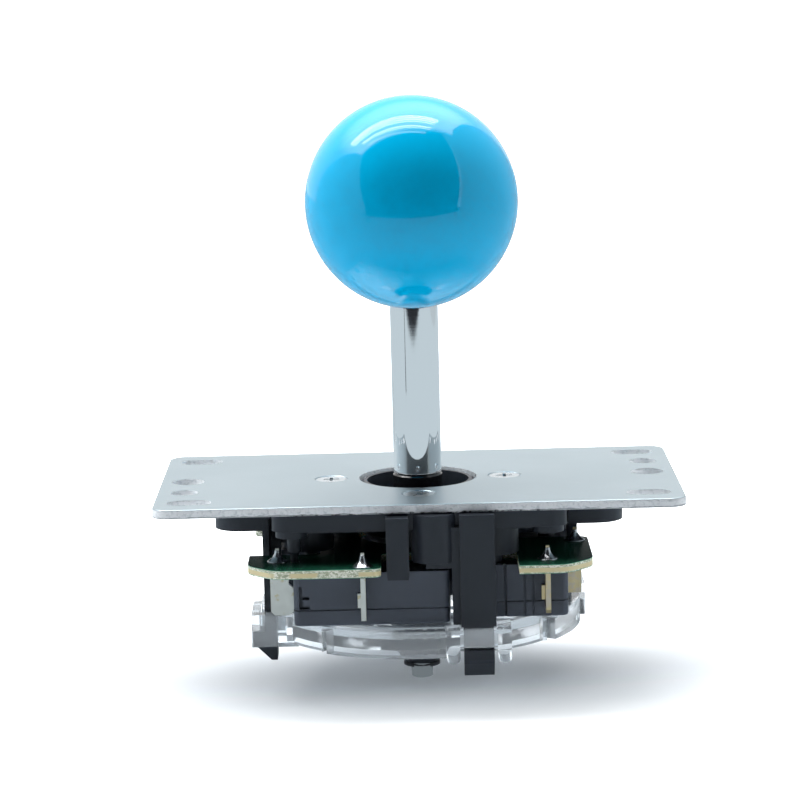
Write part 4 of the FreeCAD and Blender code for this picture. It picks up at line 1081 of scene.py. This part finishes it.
def makeSheet():
    material, tree = stageMaterial("litSheet")
    spot = axes(tree, addNode(tree, "NewGeometry").outputs["Position"])
    along = calc(tree, "SUBTRACT", spot[1], calc(tree, "MULTIPLY", spot[0], sheet["askew"]))
    across = hump(tree, spot[0], *sheet["across"])
    share = calc(tree, "MULTIPLY", across, hump(tree, along, *sheet["along"]))
    mirrored = addNode(tree, "LightPath").outputs["Is Glossy Ray"]
    strength = fade(tree, mirrored, 0.0, 1.0, sheet["lighting"], sheet["radiance"])
    glow = addNode(tree, "Emission", {"Color": (1, 1, 1), "Strength": strength})
    clear = addNode(tree, "BsdfTransparent")
    both = addNode(tree, "MixShader", {0: share, 1: clear.outputs[0], 2: glow.outputs[0]})
    addNode(tree, "OutputMaterial", {"Surface": both.outputs[0]})
    corners = rectangle(sheet["across"][0], sheet["across"][3], *sheet["reach"], sheet["level"])
    cloth = stageMesh("litSheet", corners, material)
    cloth.visible_camera = cloth.visible_transmission = False


def softbox(name, centre, size, watts, target=(0, 0, 0.01), seen=True):
    data = bpy.data.lights.new(name, "AREA")
    data.shape, data.size, data.size_y, data.energy = "RECTANGLE", size[0], size[1], watts
    lamp = bpy.data.objects.new(name, data)
    scene.collection.objects.link(lamp)
    lamp.location = centre
    lamp.rotation_euler = (Vector(target) - Vector(centre)).to_track_quat("-Z", "Y").to_euler()
    lamp.visible_glossy = seen


tubeLevel = 0.65  # m
tubes = [  # y, width, x from and to in m, radiance
    (0.215, 0.016, -0.62, 0.22, 14.0),
    (0.182, 0.016, -0.61, 0.22, 14.0),
    (0.148, 0.016, -0.60, 0.21, 13.0),
    (0.112, 0.014, -0.58, 0.20, 10.0),
    (0.040, 0.014, -0.49, 0.18, 12.0),
    (0.014, 0.012, -0.47, 0.17, 8.0),
    (-0.050, 0.030, -0.43, 0.14, 3.0),
]


def ballStreaks():  # long tubes above, seen in the ball as bright lines
    for n, (y, width, x0, x1, radiance) in enumerate(tubes):
        middle, long = (x0 + x1) / 2, x1 - x0
        watts = radiance * math.pi * long * width
        softbox("tube%d" % n, (middle, y, tubeLevel), (long, width), watts, (middle, y, 0))


makeWorld()
makeFloor()
makeTable()
makeCards()
makeSheet()
softbox("leftFill", seen=False, **studio["leftFill"])
softbox("rightFill", seen=False, **studio["rightFill"])
ballStreaks()
print("studio ready")
